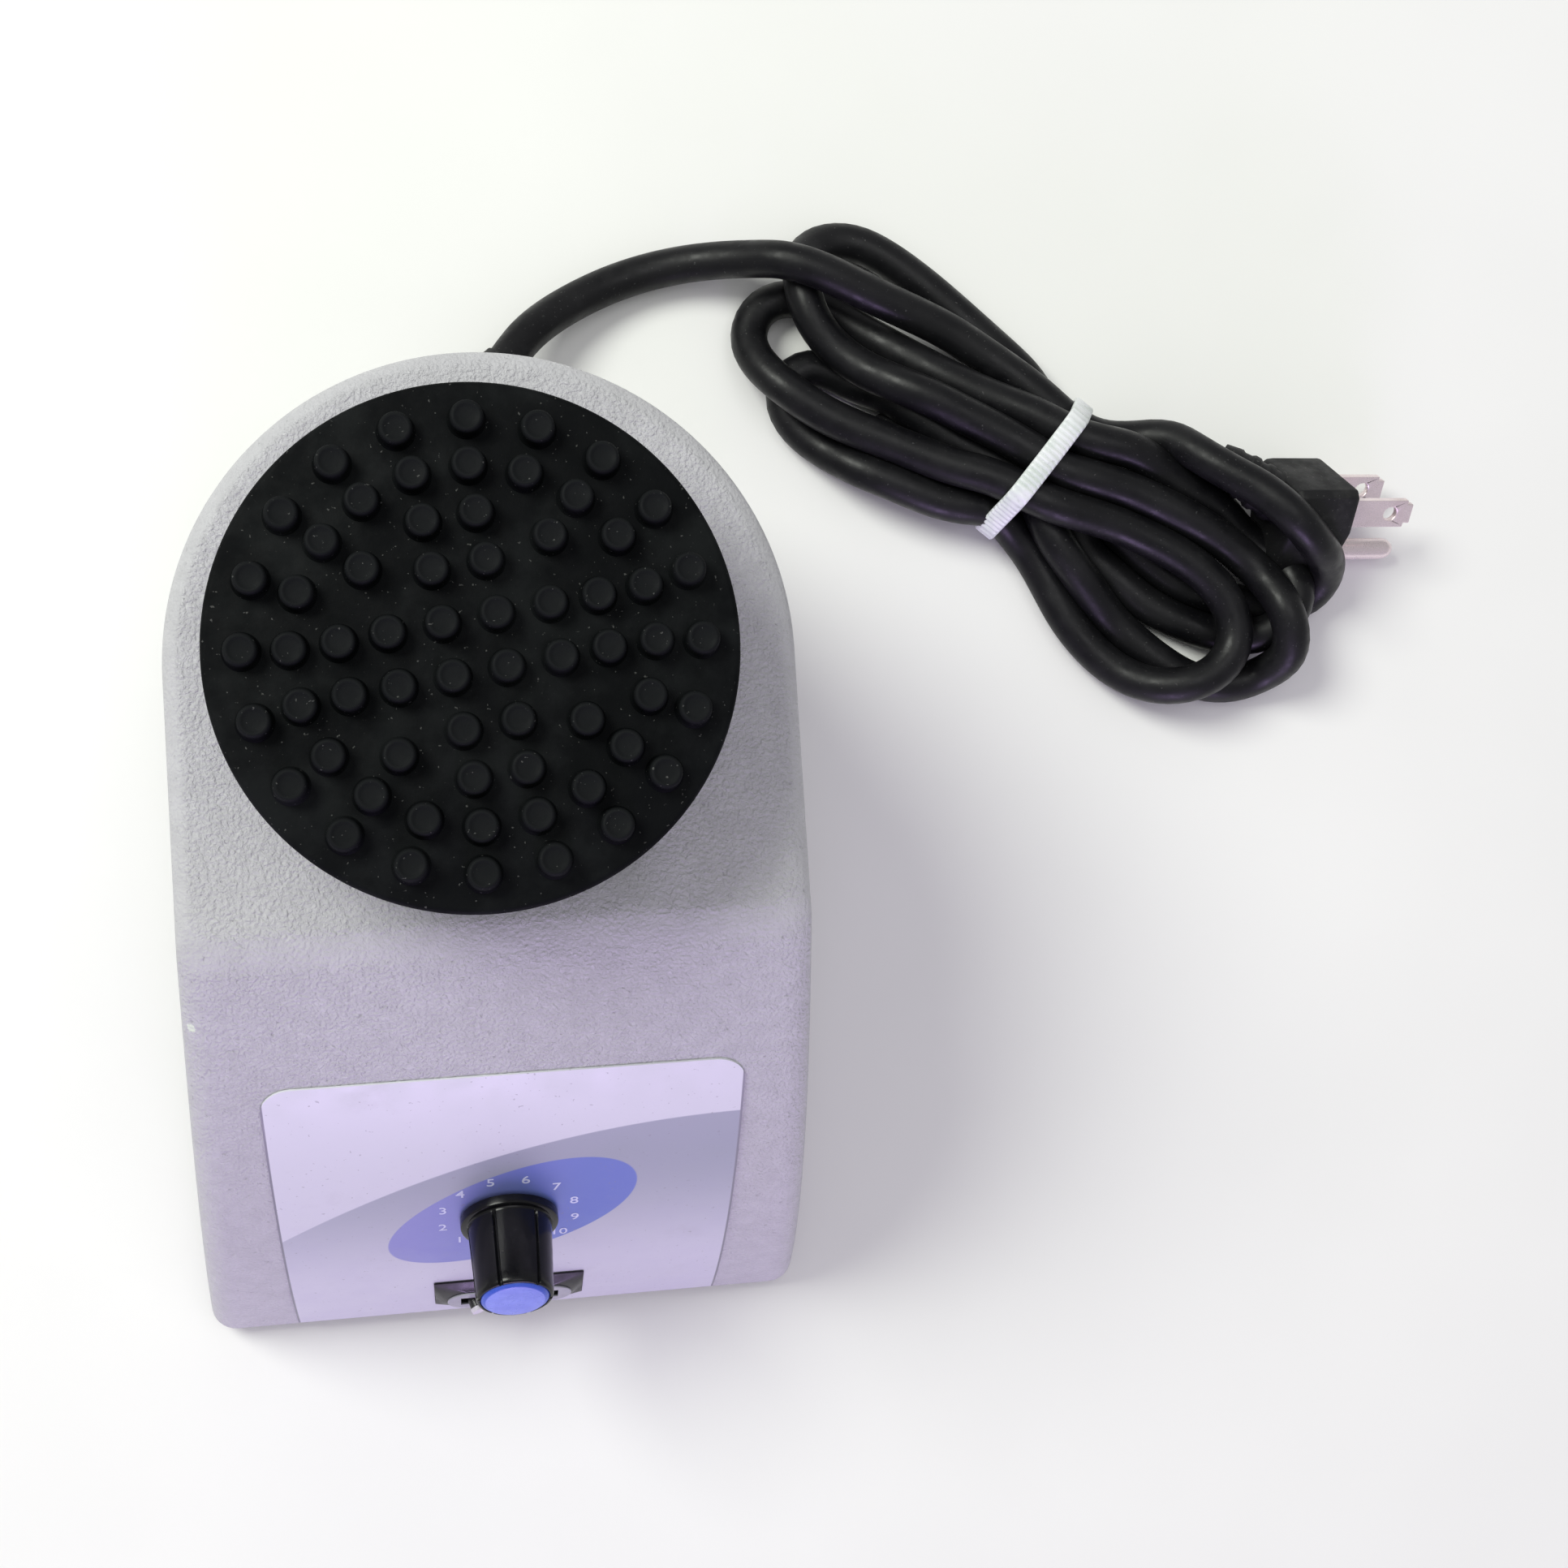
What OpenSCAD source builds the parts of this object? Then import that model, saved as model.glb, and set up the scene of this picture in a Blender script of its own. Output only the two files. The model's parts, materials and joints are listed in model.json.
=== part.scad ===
// Vortex mixer with a flat rubber-nubbed platform, a dial, a mode switch and a tied mains cord.
// Millimetres, +Z up, front panel towards -Y. The origin is at the middle of the base on the bench.

/* [Housing] */
// Width of the housing at its foot
body_w = 121; // [118:1:126]
// Depth of the housing at its foot
body_l = 185; // [182:1:190]
// Height of the flat top above the bench
body_h = 105; // [104:1:107]
// Height of the housing's lower edge above the bench
foot_h = 4; // [3.5:0.5:4.5]
// How far each side leans in between the foot and the top
side_lean = 7; // [6:0.5:8]
// Wall thickness of the casting
wall_t = 3; // [2.5:0.5:3.5]
// Rounding of the top edge
edge_r = 3.5; // [2.5:0.5:4]
// Rounding of the front corners, in plan
corner_r = 5; // [4:0.5:6]

/* [Front panel] */
// Slope of the curved front panel at its top, from level
panel_top_deg = 36; // [35:1:37]
// Slope of the curved front panel at its foot, from level
panel_foot_deg = 69; // [68:1:70]
// Width of the printed label
label_w = 86; // [82:1:88]
// Height of the label's top edge, along the panel from its foot
label_top = 97.5; // [95:0.5:99]

/* [Speed knob] */
// Height of the knob along the panel from its foot
knob_v = 53.3; // [52:0.1:55]
// Radius of the knob's skirt
knob_skirt_r = 9.3; // [9:0.1:10]
// Radius of the knob's grip where it meets the skirt
knob_grip_r = 8; // [7.6:0.1:8.4]
// How far the knob stands out from the panel
knob_h = 17.8; // [17:0.1:19]

/* [Mode switch] */
// Height of the mode switch along the panel from its foot
switch_v = 16.8; // [16:0.1:17.5]
// Length of the switch's raised bezel
bezel_w = 30; // [29:0.5:31]
// How far the lever slides from one end to the other
lever_travel = 14.6; // [13:0.2:15]

/* [Head] */
// Radius of the rubber platform
pad_r = 42.5; // [41:0.5:43.5]
// Height of the platform's flat top above the bench
pad_z = 131.6; // [131:0.1:133]
// Height of each rubber nub
nub_h = 3.6; // [2.5:0.1:4]
// Radius of the orbit that the head is driven round
orbit_r = 2.45; // [2:0.05:2.5]
// Where on its orbit the head rests, anticlockwise from +X
orbit_deg = 200; // [0:5:355]

/* [Mains cord] */
// Diameter of the cord
cord_d = 8.1; // [7.8:0.1:8.4]

/* [Hidden] */
$fn = 48;
tiny = 0.01;
run_gap = 0.05;

// Housing outline
top_half_w = body_w / 2 - side_lean;
axis_y = (body_l - body_w) / 2;
front_y = -body_l / 2;
panel_r = (body_h - foot_h) / (cos(panel_top_deg) - cos(panel_foot_deg));
panel_cy = front_y + panel_r * sin(panel_foot_deg);
panel_cz = foot_h - panel_r * cos(panel_foot_deg);
outer_levels = [foot_h, 12, 22, 34, 46, 58, 70, 82, 92, body_h - edge_r, body_h - 0.62 * edge_r,
    body_h - 0.33 * edge_r, body_h - 0.12 * edge_r, body_h];
inner_levels = [foot_h - 1, 18, 34, 50, 66, 82, 94, body_h - wall_t];

// Heights inside
plate_z = 5;
plate_t = 3;
floor_z = plate_z + plate_t;
foot_spots = [[-46, -72], [46, -72], [-22, 76], [22, 76]];
bolt_reach = 31;
bolt_r = 2;
lower_z = 22;
stack_z = 48;
stack_h = 22;
upper_z = 80;
shaft_r = 4;
shaft_foot = 21.5;
hub_z = 87;
hub_h = 12;
pin_top = 123;
pin_spot = [orbit_r * cos(orbit_deg), axis_y + orbit_r * sin(orbit_deg)];
press_travel = 2;

// Cord, as points along its middle
relief_route = [[3, 93, 14], [3, 95, 14], [4.2, 98.5, 13.8], [6.6, 101.8, 13.4], [10.2, 105.5, 12.9]];
lead_route = [[10.2, 105.5, 12.9], [12.5, 108.8, 12.3], [16.6, 113.5, 11], [23.1, 118.3, 9],
    [30.1, 122.3, 7.2], [38, 125.6, 6.2], [48.5, 128, 6.2], [59, 128.4, 7.5], [67.5, 126.5, 9.5]];
wire_route = [[1, 83.5, 14], [-8, 76, 12.5], [-15, 62, 11], [-16, 45, 10.6], [-16, 25, 10.6],
    [-12, 10, 11.5], [-6, 2, 13]];
hank_h = 20;
tie_spot = [125, 80];
tie_deg = -41;
plug_spot = [191.7, 69.5, 13.8];
plug_dip = 10;
plug_roll = -54.5;
neck_route = [[180.5, 69.4, 15.4], [177, 70.8, 16], [173.5, 73, 16.3], [169.5, 76, 16], [165.5, 78.5, 14.6],
    [160, 81, 12]];

// ---- Functions ----

// Half the housing's width at height z, before the top edge is rounded
function half_w(z) = body_w / 2 - side_lean * (z - foot_h) / (body_h - foot_h);

// Slope of the panel, from level, where it is at height z
function panel_deg(z) = acos((z - panel_cz) / panel_r);

// How far the rounded top edge has pulled the outline in at height z
function edge_in(z) = let (rise = max(0, z - body_h + edge_r)) edge_r - sqrt(edge_r * edge_r - rise * rise);

// One level of the housing: front corners, then round the back, with round_n steps to the back arc
function outline(z, half, front, corner, round_n, corner_n) = concat(
    [for (i = [0:corner_n]) let (a = 180 + 90 * i / corner_n)
        [-half + corner + corner * cos(a), front + corner + corner * sin(a), z]],
    [for (i = [0:corner_n]) let (a = 270 + 90 * i / corner_n)
        [half - corner + corner * cos(a), front + corner + corner * sin(a), z]],
    [for (i = [0:round_n]) let (a = 180 * i / round_n) [half * cos(a), axis_y + half * sin(a), z]]);

function outer_ring(z) = let (e = edge_in(z), d = panel_deg(min(z, body_h)))
    outline(z, half_w(z) - e, panel_cy - panel_r * sin(d) + e, corner_r, 32, 4);

function inner_ring(z) = let (d = panel_deg(z))
    outline(z, half_w(z) - wall_t, panel_cy - panel_r * sin(d) + wall_t / sin(d), corner_r - 2, 20, 2);

// Skin between rings of n points each, closed at both ends
function skin_faces(rings, n) = concat(
    [[for (i = [0:n - 1]) i]],
    [for (k = [0:rings - 2], i = [0:n - 1]) [k * n + i, (k + 1) * n + i, (k + 1) * n + (i + 1) % n]],
    [for (k = [0:rings - 2], i = [0:n - 1]) [k * n + i, (k + 1) * n + (i + 1) % n, k * n + (i + 1) % n]],
    [[for (i = [n - 1:-1:0]) (rings - 1) * n + i]]);

function unit(v) = v / norm(v);

// Catmull-Rom point between b and c
function curve_at(a, b, c, d, t) = 0.5 * (2 * b + (c - a) * t + (2 * a - 5 * b + 4 * c - d) * t * t
    + (3 * b - a - 3 * c + d) * t * t * t);

// The route with steps points put in between each two of its own
function fine(p, steps) = let (n = len(p)) concat(
    [for (i = [0:n - 2], s = [0:steps - 1])
        curve_at(p[max(i - 1, 0)], p[i], p[i + 1], p[min(i + 2, n - 1)], s / steps)],
    [p[n - 1]]);

// Direction of a route at its point i
function heading(p, i) = unit(p[min(i + 1, len(p) - 1)] - p[max(i - 1, 0)]);

// Ring of sides points round point i of route p, r across
function tube_ring(p, i, r, sides) = let (h = heading(p, i), u = unit(cross(h, [0, 0, 1])), v = cross(h, u))
    [for (k = [0:sides - 1]) p[i] + r * cos(360 * k / sides) * u + r * sin(360 * k / sides) * v];

// ---- Shared shapes ----

module skin(rings) {
    n = len(rings[0]);
    polyhedron(points = [for (r = rings, q = r) q], faces = skin_faces(len(rings), n), convexity = 6);
}

module tube(route, r1, r2, sides) {
    last = len(route) - 1;
    skin([for (i = [0:last]) tube_ring(route, i, r1 + (r2 - r1) * i / last, sides)]);
}

// Puts children on the curved panel, x across and v up along it from its foot, with +Z outward
module on_panel(x, v) {
    deg = panel_foot_deg - v / panel_r * 180 / PI;
    translate([x, panel_cy, panel_cz]) rotate([deg, 0, 0]) translate([0, 0, panel_r]) children();
}

module ring(r_out, r_in, h) {
    difference() {
        cylinder(r = r_out, h = h);
        translate([0, 0, -1]) cylinder(r = r_in, h = h + 2);
    }
}

module stadium(w, h) {
    translate([-(w - h) / 2, 0]) circle(h / 2);
    translate([(w - h) / 2, 0]) circle(h / 2);
    square([w - h, h], center = true);
}

module at_bolts() {
    for (sx = [-1, 1], sy = [-1, 1]) translate([sx * bolt_reach, axis_y + sy * bolt_reach, 0]) children();
}

// Flat motor plate: a disc with an ear at each bolt
module motor_plate(r, h) {
    linear_extrude(height = h) difference() {
        union() {
            translate([0, axis_y]) circle(r);
            for (a = [45, 135]) translate([0, axis_y]) rotate(a) square([bolt_reach * 2.828, 9], center = true);
            at_bolts() circle(5);
        }
        at_bolts() circle(bolt_r + 0.2);
    }
}

// ---- Housing ----

module housing() {
    color([0.80, 0.80, 0.77]) difference() {
        union() {
            difference() {
                skin([for (z = outer_levels) outer_ring(z)]);
                skin([for (z = inner_levels) inner_ring(z)]);
            }
            for (s = foot_spots) translate([s[0], s[1], floor_z + 0.2]) cylinder(r = 5, h = 20);
            for (sx = [-1, 1]) translate([sx * 52.9, -72, floor_z + 10.2]) cube([10.6, 5, 20], center = true);
            for (sx = [-1, 1]) translate([sx * 22, 76, floor_z + 10.2]) rotate(-sx * 26.6)
                translate([0, 4.9, 0]) cube([5, 7.6, 20], center = true);
        }
        for (s = foot_spots) translate([s[0], s[1], floor_z - 1]) cylinder(r = bolt_r + run_gap, h = 16);
        translate([0, axis_y, body_h - 10]) cylinder(r = 17, h = 20);
        on_panel(0, knob_v) translate([0, 0, -8]) cylinder(r = 3.7, h = 16);
        on_panel(0, switch_v) cube([23, 7, 16], center = true);
        translate([3, body_l / 2 - 10, 14]) rotate([-90, 0, 0]) cylinder(r = 6.2, h = 20);
    }
}

module base_plate() {
    reach = half_w(plate_z) - wall_t - 0.8;
    color("silver") difference() {
        translate([0, 0, plate_z]) linear_extrude(height = plate_t) union() {
            translate([0, axis_y]) circle(reach);
            translate([-reach, front_y + 6.5]) square([2 * reach, axis_y - front_y - 6.5]);
        }
        for (s = foot_spots) translate([s[0], s[1], 0]) cylinder(r = bolt_r + 0.2, h = 20);
        at_bolts() cylinder(r = bolt_r + 0.2, h = 20);
    }
}

module rubber_feet() {
    color([0.08, 0.08, 0.08]) for (s = foot_spots) translate([s[0], s[1], 0]) difference() {
        cylinder(r1 = 7.5, r2 = 7, h = plate_z);
        translate([0, 0, -1]) cylinder(r = 4, h = 3.4);
        cylinder(r = bolt_r + 0.2, h = 10);
    }
}

module foot_screws() {
    color("gainsboro") for (s = foot_spots) translate([s[0], s[1], 0]) difference() {
        union() {
            translate([0, 0, 0.8]) cylinder(r = 3.6, h = 1.6);
            translate([0, 0, 2.4 - tiny]) cylinder(r = bolt_r, h = 16);
        }
        translate([0, 0, 0.4]) cube([5, 0.8, 1.6], center = true);
    }
}

module front_label() {
    mid_v = (label_top + 3) / 2;
    span = label_top - 3;
    color([0.88, 0.88, 0.9]) difference() {
        intersection() {
            translate([-label_w / 2, panel_cy, panel_cz]) rotate([0, 90, 0])
                ring_long(panel_r + 0.4, panel_r + 0.03, label_w);
            on_panel(0, mid_v) translate([0, 0, -20]) linear_extrude(height = 40) label_outline(span);
        }
        on_panel(0, knob_v) translate([0, 0, -8]) cylinder(r = 6.5, h = 16);
        on_panel(0, switch_v) cube([25.2, 9.2, 16], center = true);
    }
}

module ring_long(r_out, r_in, h) {
    difference() {
        cylinder(r = r_out, h = h);
        translate([0, 0, -1]) cylinder(r = r_in, h = h + 2);
    }
}

// Square at the foot, rounded at the top
module label_outline(span) {
    r = 5.5;
    chord = 2 * panel_r * sin(span / panel_r * 90 / PI);
    translate([-label_w / 2, -chord / 2]) square([label_w, chord - r]);
    translate([-label_w / 2 + r, chord / 2 - r - 1]) square([label_w - 2 * r, r + 1]);
    for (sx = [-1, 1]) translate([sx * (label_w / 2 - r), chord / 2 - r]) circle(r);
}

// ---- Mode switch ----

slot_w = 19.6;
face_h = 2.3;

module switch_bezel() {
    color([0.12, 0.12, 0.13]) on_panel(0, switch_v) difference() {
        hull() {
            translate([0, 0, 0.6]) cube([bezel_w, 13.4, 0.2], center = true);
            translate([0, 0, face_h - 0.2]) linear_extrude(height = 0.2) stadium(25.4, 9.4);
        }
        cube([slot_w + 1, 5, 10], center = true);
    }
}

module switch_plate() {
    color([0.62, 0.62, 0.66]) on_panel(0, switch_v) translate([0, 0, face_h + 0.02])
        linear_extrude(height = 0.4) difference() {
            stadium(25, 9);
            square([slot_w, 4.2], center = true);
        }
}

module switch_body() {
    color([0.1, 0.1, 0.1]) on_panel(0, switch_v) difference() {
        union() {
            translate([0, 0, -7.9]) cube([22.6, 6.6, 16.2], center = true);
            translate([0, 0, -8]) cube([26, 9, 7], center = true);
        }
        translate([0, 0, -1]) cube([slot_w + 1.2, 5.2, 8], center = true);
    }
}

module switch_lever() {
    color([0.06, 0.06, 0.06]) on_panel(-lever_travel / 2 - 1, switch_v) {
        translate([0, 0, -1.8]) cube([4, 3.2, 1.6], center = true);
        translate([0, 0, -1.2]) rotate([0, 18, 0]) cylinder(r1 = 1.2, r2 = 1.35, h = 5.6);
    }
}

module lever_tip() {
    color([0.72, 0.7, 0.75]) on_panel(-lever_travel / 2 - 1, switch_v) translate([0, 0, -1.2])
        rotate([0, 18, 0]) translate([0, 0, 5.6]) cylinder(r1 = 1.5, r2 = 1.35, h = 0.9);
}

// ---- Speed control ----

module pot_body() {
    color([0.2, 0.3, 0.35]) on_panel(0, knob_v) translate([0, 0, -14.2]) difference() {
        cylinder(r = 12, h = 10);
        translate([0, 0, 2]) cylinder(r = 3 + run_gap, h = 10);
    }
}

module pot_bushing() {
    color("silver") on_panel(0, knob_v) translate([0, 0, -4.2]) ring(3.5, 3 + run_gap, 6.8);
}

module pot_nut() {
    color("gainsboro") on_panel(0, knob_v) translate([0, 0, 0.1]) difference() {
        cylinder(r = 5.7, h = 1.9, $fn = 6);
        translate([0, 0, -1]) cylinder(r = 3.5 + run_gap, h = 4);
    }
}

module pot_shaft() {
    color("silver") on_panel(0, knob_v) translate([0, 0, -12]) cylinder(r = 3, h = 25);
}

module knob_body() {
    color([0.05, 0.05, 0.05]) on_panel(0, knob_v) difference() {
        union() {
            translate([0, 0, 0.8]) cylinder(r1 = knob_skirt_r, r2 = knob_skirt_r - 0.4, h = 1.9);
            translate([0, 0, 2.6]) cylinder(r1 = knob_grip_r, r2 = knob_grip_r - 0.7, h = knob_h - 2.6);
        }
        translate([0, 0, 0]) cylinder(r = 7, h = 3);
        translate([0, 0, 2]) cylinder(r = 3 + run_gap, h = 11.5);
        translate([0, 0, knob_h - 1.2]) cylinder(r = 6.5, h = 3);
        for (a = [52:60:352]) rotate(a) translate([knob_grip_r + 0.1, 0, 3.4 + knob_h / 2])
            cube([1.4, 0.6, knob_h], center = true);
        translate([0, 0, 7]) rotate([0, 90, 278]) cylinder(r = 1.3, h = 12);
    }
}

module knob_cap() {
    color([0.25, 0.33, 0.85]) on_panel(0, knob_v) translate([0, 0, knob_h - 1.15]) {
        cylinder(r = 6.4, h = 1.1);
        translate([0, 0, 1.1]) cylinder(r1 = 6.4, r2 = 5.5, h = 0.6);
    }
}

module knob_pointer() {
    color([0.75, 0.76, 0.78]) on_panel(0, knob_v) rotate(225) translate([8.46, 0, 2.86])
        cube([0.8, 1.5, 0.3], center = true);
}

module knob_set_screw() {
    color("gray") on_panel(0, knob_v) translate([0, 0, 7]) rotate([0, 90, 278]) difference() {
        translate([0, 0, 3.2]) cylinder(r = 1.25, h = 3.6);
        translate([0, 0, 5.6]) cylinder(r = 0.7, h = 3, $fn = 6);
    }
}

// ---- Motor ----

module splash_collar() {
    color([0.08, 0.08, 0.08]) translate([0, axis_y, body_h + 0.02]) rotate_extrude()
        polygon([[14, -2], [16.8, -2], [16.8, 0], [22, 0], [22, 1.6], [17.6, 3], [16.4, 6], [14, 6]]);
}

module lower_bracket() {
    color([0.7, 0.72, 0.74]) difference() {
        union() {
            translate([0, 0, lower_z]) motor_plate(34, 4);
            translate([0, axis_y, lower_z]) cylinder(r = 11, h = 7.5);
            at_bolts() translate([0, 0, lower_z]) cylinder(r = 4.5, h = stack_z - lower_z - 0.2);
        }
        translate([0, axis_y, lower_z - 1]) cylinder(r = 8, h = 20);
        at_bolts() cylinder(r = bolt_r + 0.2, h = 100);
    }
}

module upper_bracket() {
    color([0.7, 0.72, 0.74]) difference() {
        union() {
            translate([0, 0, upper_z]) motor_plate(34, 4);
            translate([0, axis_y, upper_z - 4]) cylinder(r = 11, h = 8);
            at_bolts() translate([0, 0, stack_z + stack_h + 0.2]) cylinder(r = 4.5, h = upper_z - stack_z - stack_h);
        }
        translate([0, axis_y, upper_z - 10]) cylinder(r = 8, h = 30);
        at_bolts() cylinder(r = bolt_r + 0.2, h = 100);
    }
}

module lower_bearing() {
    color([0.72, 0.55, 0.3]) translate([0, axis_y, lower_z]) ring(8 - tiny, shaft_r + run_gap, 7.5);
}

module upper_bearing() {
    color([0.72, 0.55, 0.3]) translate([0, axis_y, upper_z - 4]) ring(8 - tiny, shaft_r + run_gap, 8);
}

module stator_stack() {
    color([0.45, 0.46, 0.5]) translate([0, 0, stack_z]) difference() {
        motor_plate(36, stack_h);
        translate([0, axis_y, -1]) cylinder(r = 17.6, h = stack_h + 2);
        for (a = [0:30:330]) translate([0, axis_y, stack_h / 2]) rotate(a) translate([22, 0, 0])
            cube([9, 4, stack_h + 2], center = true);
    }
}

module motor_windings() {
    color([0.72, 0.38, 0.16]) translate([0, axis_y, 0]) {
        translate([0, 0, stack_z + stack_h + 0.1]) ring(31, 19, 7.5);
        translate([0, 0, stack_z - 7.6]) ring(31, 19, 7.5);
    }
}

module motor_bolts() {
    color("gainsboro") at_bolts() {
        translate([0, 0, 2.2]) cylinder(r = bolt_r, h = upper_z + 4.1 - 2.2);
        translate([0, 0, upper_z + 4.05]) cylinder(r = 3.9, h = 2.6, $fn = 6);
    }
}

module motor_nuts() {
    color("gainsboro") at_bolts() translate([0, 0, plate_z - 2.5]) difference() {
        cylinder(r = 4, h = 2.45, $fn = 6);
        translate([0, 0, -1]) cylinder(r = bolt_r + run_gap, h = 6);
    }
}

module rubber_mounts() {
    color([0.1, 0.1, 0.1]) at_bolts() translate([0, 0, floor_z]) ring(6.5, bolt_r + 0.2, lower_z - floor_z);
}

module motor_shaft() {
    color("silver") translate([0, axis_y, shaft_foot]) cylinder(r = shaft_r, h = hub_z + 6 - shaft_foot);
}

module rotor_core() {
    color([0.5, 0.5, 0.53]) translate([0, axis_y, stack_z - 2]) ring(17.1, shaft_r, stack_h + 4);
}

module cooling_fan() {
    color([0.15, 0.3, 0.2]) translate([0, axis_y, 32]) difference() {
        union() {
            cylinder(r = 8, h = 6);
            translate([0, 0, 5]) cylinder(r = 30, h = 1);
            for (a = [0:40:320]) rotate(a) translate([18.5, 0, 2.8]) cube([22, 1.2, 5.6], center = true);
        }
        translate([0, 0, -1]) cylinder(r = shaft_r, h = 10);
    }
}

module counterweight_hub() {
    color([0.62, 0.62, 0.6]) difference() {
        union() {
            translate([0, axis_y, hub_z]) cylinder(r = 12, h = hub_h);
            intersection() {
                translate([0, axis_y, hub_z]) cylinder(r = 26, h = hub_h);
                translate([0, axis_y, hub_z]) rotate(orbit_deg) translate([-30, -20, 0]) cube([26, 40, hub_h]);
            }
        }
        translate([0, axis_y, hub_z - 1]) cylinder(r = shaft_r, h = 7);
        translate([pin_spot[0], pin_spot[1], hub_z + 6.5]) cylinder(r = shaft_r, h = 9);
        translate([0, axis_y, hub_z + 3]) rotate([0, 90, orbit_deg]) translate([0, 0, shaft_r - 1]) cylinder(r = 1.6, h = 12);
    }
}

module hub_set_screw() {
    color("gray") translate([0, axis_y, hub_z + 3]) rotate([0, 90, orbit_deg]) translate([0, 0, shaft_r])
        cylinder(r = 1.55, h = 6);
}

module eccentric_pin() {
    color("silver") translate([pin_spot[0], pin_spot[1], hub_z + 6.5])
        cylinder(r = shaft_r, h = pin_top - hub_z - 6.5);
}

// ---- Head ----

module head_bearing() {
    color("silver") translate([pin_spot[0], pin_spot[1], 106]) ring(7.5, shaft_r + run_gap, 14);
}

module head_hub() {
    color([0.68, 0.69, 0.72]) translate([pin_spot[0], pin_spot[1], 0]) difference() {
        union() {
            translate([0, 0, 104]) cylinder(r = 9.5, h = 21);
            translate([0, 0, 122]) cylinder(r = 16, h = 3.4);
        }
        translate([0, 0, 103]) cylinder(r = 7.5, h = 17);
        translate([0, 0, 119]) cylinder(r = 4.6, h = 4.6);
        for (a = [30:120:270]) rotate(a) translate([12.5, 0, 100]) cylinder(r = 1.7, h = 40);
    }
}

module platform_plate() {
    color([0.75, 0.76, 0.78]) translate([pin_spot[0], pin_spot[1], 125.45]) difference() {
        cylinder(r = 38.1, h = 3);
        for (a = [30:120:270]) rotate(a) translate([12.5, 0, -1]) cylinder(r = 1.5, h = 10);
    }
}

module platform_screws() {
    color("gainsboro") translate([pin_spot[0], pin_spot[1], 0]) for (a = [30:120:270]) rotate(a)
        translate([12.5, 0, 0]) {
            translate([0, 0, 119.9]) cylinder(r = 2.8, h = 2);
            translate([0, 0, 121.8]) cylinder(r = 1.45, h = 6.4);
        }
}

module nub() {
    difference() {
        cylinder(r1 = 2.95, r2 = 2.55, h = nub_h);
        translate([0, 0, nub_h - 0.35]) cylinder(r1 = 1.1, r2 = 1.9, h = 0.5);
    }
}

module platform_pad() {
    inner_nubs = [[0.144, 0], [0.321, -26.4], [0.321, 26.4], [0.497, -33.4], [0.497, 0], [0.497, 33.4]];
    color([0.09, 0.09, 0.1]) translate([pin_spot[0], pin_spot[1], pad_z]) {
        difference() {
            rotate_extrude() polygon([[0, 0], [pad_r - 0.3, 0], [pad_r, -0.3], [pad_r, -1.3],
                [pad_r - 2.6, -5], [38.2, -5], [38.2, -3.1], [0, -3.1]]);
        }
        for (k = [0:19], f = [0.85, 0.675]) rotate(18 * k - 1.1) translate([f * pad_r, 0, -tiny]) nub();
        for (w = [0:3], n = inner_nubs) rotate(53 + 90 * w + n[1]) translate([n[0] * pad_r, 0, -tiny]) nub();
    }
}

// ---- Touch control ----

module thrust_button() {
    color([0.85, 0.83, 0.75]) translate([0, axis_y, 0]) {
        translate([0, 0, 10.6]) cylinder(r = 3, h = 4.2);
        translate([0, 0, 14.7]) cylinder(r = 6, h = 2);
        translate([0, -2, 14.7]) cube([15, 4, 1.6]);
    }
}

module thrust_ball() {
    color("silver") translate([0, axis_y, 19.1]) sphere(r = 2.36);
}

module lift_spring() {
    color("gray") translate([0, axis_y, floor_z + 0.02]) ring(5.4, 4.3, 6.6);
}

module touch_switch() {
    color([0.13, 0.13, 0.15]) translate([8, axis_y, floor_z + 0.02]) {
        translate([0, -3.2, 0]) cube([20, 6.4, 3.9]);
        translate([5, 0, 0]) cylinder(r = 1.2, h = 4.5);
    }
}

// ---- Electrics ----

board_spots = [[-36, -58], [36, -58], [-36, -24], [36, -24]];

module circuit_board() {
    color([0.1, 0.4, 0.2]) difference() {
        translate([-40, -62, 16]) cube([80, 42, 1.6]);
        for (s = board_spots) translate([s[0], s[1], 10]) cylinder(r = 1.6, h = 20);
    }
}

module board_standoffs() {
    color([0.9, 0.9, 0.85]) for (s = board_spots) translate([s[0], s[1], 0]) {
        translate([0, 0, floor_z]) cylinder(r = 3, h = 8);
        translate([0, 0, 15.9]) cylinder(r = 1.55, h = 2.6);
    }
}

module heatsink() {
    color([0.6, 0.62, 0.65]) translate([12, -50, 17.62]) {
        cube([20, 22, 2]);
        for (i = [0:4]) translate([i * 4.6, 0, 2 - tiny]) cube([1.6, 22, 10]);
    }
}

module capacitor() {
    color([0.2, 0.25, 0.5]) translate([-30, -38, 25.7]) rotate([0, 90, 0]) cylinder(r = 8, h = 28);
}

module terminal_block() {
    color([0.92, 0.9, 0.85]) difference() {
        translate([-16, -12, floor_z]) cube([32, 12, 9]);
        for (i = [-1:1]) translate([i * 10, -6, floor_z + 4]) cylinder(r = 2, h = 10);
    }
}

module earth_terminal() {
    color([0.75, 0.62, 0.3]) translate([-9, 82, floor_z]) {
        ring(3.6, 1.6, 0.8);
        translate([-9, -1.6, 0]) cube([6, 3.2, 0.8]);
        translate([0, 0, 0.75]) cylinder(r = 3, h = 1.8);
    }
}

module internal_wires() {
    color([0.2, 0.5, 0.25]) for (i = [-1:1]) translate([3.2 * i, 0, 0]) tube(wire_route, 1.3, 1.3, 6);
}

// ---- Mains cord ----

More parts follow.
